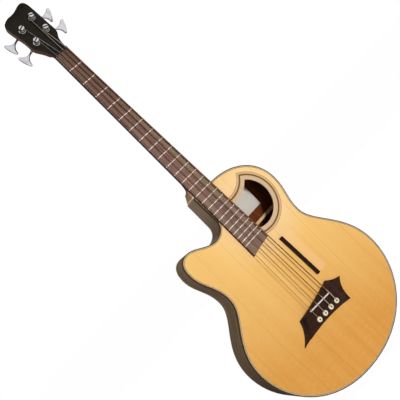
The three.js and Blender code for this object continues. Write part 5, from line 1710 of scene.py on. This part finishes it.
    def key(self, name, rest_turn, shapes):
        """The key: shaft, worm and a waisted paddle with two rounded lobes."""
        axle = (0, SHAFT_DEPTH, CENTRES)
        paddle = moved(self.paddle(), placing(axle, rest_turn, "X"))
        start, root, (collar, wide) = -BEARING["centre"] - 2.2, WORM["root"], KEY_COLLAR
        profile = [(0, start), (root, start), (root, collar), (wide, collar), (wide, collar + 2), (2.3, collar + 5)]
        profile += [(2.6, KEY_END), (1.8, KEY_END + 9), (0, KEY_END + 9)]
        shaft = turned(f"tuner_key_{name}", softened(profile, 0.5), shapes.round_sides)
        moved(shaft, placing(axle, -math.pi / 2, "Z"))
        return combined(shaft, "UNION", self.thread(), paddle)

    @staticmethod
    def screws(name, place):
        """The screws that hold a base plate to the back of the headstock."""
        for number, x in enumerate((BASE_PLATE["left"] + 2.6, BASE_PLATE["right"] - 2.6)):
            screw = small_screw(f"plate_screw_{name}_{number + 1}", 1.9, 0.9)
            turn = placing((x, PLATE_BACK, BASE_PLATE["bottom"] + 2.6), math.pi, "Z")
            finished(moved(screw, place @ turn), "chrome")


class MakeStage(bpy.types.Operator):
    """Makes the pale floor, the soft studio light and the camera"""

    bl_idname = "bass_guitar.make_stage"
    bl_label = "Stage and camera"

    def execute(self, context):
        stage = context.scene.bass_stage
        self.floor(stage)
        self.sky(context.scene, stage)
        lamp("key_lamp", (0.33, -2.6, 0.5), (0, 0, 0.55), stage.key_power, 0.28)
        lamp("side_lamp", (-1.7, -0.3, 1.55), (0, 0, 0.5), stage.side_power, 1.0)
        lamp("back_lamp", (1.2, 2.4, 1.6), (0, 0, 0.6), stage.back_power, 1.6)
        self.cards()
        self.camera(context.scene, stage)
        context.scene.view_settings.view_transform = "Standard"
        return {"FINISHED"}

    @staticmethod
    def seen(finish):
        """1 for rays that show the background itself: to the camera, in a mirror and through glass."""
        sockets = ("Is Camera Ray", "Is Glossy Ray", "Is Transmission Ray")
        rays = [finish.add("ShaderNodeLightPath", output=socket) for socket in sockets]
        return rays[0].larger(rays[1]).larger(rays[2])

    @staticmethod
    def sheet(name, corners, finish):
        """A flat four-cornered sheet of the stage, with its corners in metres."""
        mesh = bpy.data.meshes.new(name)
        mesh.from_pydata(corners, [], [(0, 1, 2, 3)])
        mesh.materials.append(finish.material)
        piece = added(name, mesh)
        return piece

    def floor(self, stage):
        finish = Finish("floor_white", Roughness=0.9)
        finish.give(Base_Color=finish.mix(finish.noise(14.0), (0.82, 0.82, 0.815), (0.86, 0.86, 0.855)))
        glow = finish.add("ShaderNodeEmission", inputs={"Color": (1, 1, 1, 1), "Strength": stage.floor_glow})
        share = self.seen(finish) * (1 - stage.shadow_share)
        lit = Value(finish, finish.shader.outputs[0])
        mixed = finish.add("ShaderNodeMixShader", inputs={0: share, 1: lit, 2: glow})
        finish.tree.links.new(mixed.socket, finish.tree.nodes["Material Output"].inputs["Surface"])
        self.sheet("floor", [(-40, -40, 0), (40, -40, 0), (40, 40, 0), (-40, 40, 0)], finish)

    def sky(self, scene, stage):
        world = bpy.data.worlds.new("sky")
        world.use_nodes = True
        scene.world = world
        finish = Finish.__new__(Finish)
        finish.tree = world.node_tree
        strength = self.seen(finish) * (1 - stage.sky_strength) + stage.sky_strength
        background = finish.tree.nodes["Background"]
        background.inputs["Color"].default_value = (1, 1, 1, 1)
        finish.feed(background.inputs["Strength"], strength)

    def cards(self):
        """Dark cards round the headstock that only polished surfaces see, which give metal edges their dark lines."""
        finish = Finish("dark_card", Roughness=1.0)
        finish.give(Base_Color=finish.mix(finish.noise(3.0, 1.0), (0.10, 0.10, 0.11), (0.16, 0.16, 0.17)))
        for name, (x0, x1), (y0, y1), (z0, z1) in CARDS:
            if y0 == y1:
                corners = [(x0, y0, z0), (x1, y0, z0), (x1, y0, z1), (x0, y0, z1)]
            else:
                corners = [(x0, y0, z0), (x0, y1, z0), (x1, y1, z1), (x1, y0, z1)]
            piece = self.sheet(name, corners, finish)
            piece.visible_camera = False
            piece.visible_diffuse = False
            piece.visible_shadow = False

    @staticmethod
    def camera(scene, stage):
        data = bpy.data.cameras.new("camera")
        data.lens = stage.lens
        data.sensor_width = 36.0
        data.clip_start = 0.05
        data.clip_end = 200.0
        right = Vector(stage.camera_right).normalized()
        upward = Vector(stage.camera_up)
        upward = (upward - right * upward.dot(right)).normalized()
        turn = Matrix((right, upward, right.cross(upward))).transposed().to_4x4()
        scene.camera = added("camera", data)
        scene.camera.matrix_world = Matrix.Translation(stage.camera_place) @ turn


def lamp(name, place, aim, power, size):
    """A square soft lamp aimed at a place, which polished surfaces don't mirror."""
    data = bpy.data.lights.new(name, "AREA")
    data.energy = power
    data.size = size
    piece = added(name, data)
    piece.location = place
    piece.rotation_euler = (Vector(aim) - Vector(place)).to_track_quat("-Z", "Y").to_euler()
    piece.visible_glossy = False


PIECE_OPERATORS = (
    MakeTop, MakeSides, FinishBracing, MakeNeck, MakeFingerboard, MakeBridge, MakeSmallParts, MakeStrings, MakeTuners
)


class BassPanel(bpy.types.Panel):
    """Lists the operators and the settings in the sidebar"""

    bl_idname = "VIEW3D_PT_bass_guitar"
    bl_label = "Acoustic bass guitar"
    bl_space_type = "VIEW_3D"
    bl_region_type = "UI"
    bl_category = "Bass guitar"

    def draw(self, context):
        layout = self.layout
        for operator in (MakeStage, *PIECE_OPERATORS):
            layout.operator(operator.bl_idname)
        for group in (context.scene.bass_shapes, context.scene.bass_colours, context.scene.bass_stage):
            box = layout.box()
            for name in group.bl_rna.properties.keys():
                if name not in ("rna_type", "name"):
                    box.prop(group, name)


CLASSES = (BassShapes, BassColours, BassStage, MakeStage, *PIECE_OPERATORS, BassPanel)


def register():
    for entry in CLASSES:
        bpy.utils.register_class(entry)
    bpy.types.Scene.bass_shapes = bpy.props.PointerProperty(type=BassShapes)
    bpy.types.Scene.bass_colours = bpy.props.PointerProperty(type=BassColours)
    bpy.types.Scene.bass_stage = bpy.props.PointerProperty(type=BassStage)


def unregister():
    del bpy.types.Scene.bass_stage
    del bpy.types.Scene.bass_colours
    del bpy.types.Scene.bass_shapes
    for entry in reversed(CLASSES):
        bpy.utils.unregister_class(entry)


def main():
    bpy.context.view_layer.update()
    register()
    bpy.ops.bass_guitar.make_stage()
    bpy.ops.bass_guitar.make_top()
    bpy.ops.bass_guitar.make_sides()
    bpy.ops.bass_guitar.finish_bracing()
    bpy.ops.bass_guitar.make_neck()
    bpy.ops.bass_guitar.make_fingerboard()
    bpy.ops.bass_guitar.make_bridge()
    bpy.ops.bass_guitar.make_small_parts()
    bpy.ops.bass_guitar.make_strings()
    bpy.ops.bass_guitar.make_tuners()


if __name__ == "__main__":
    main()
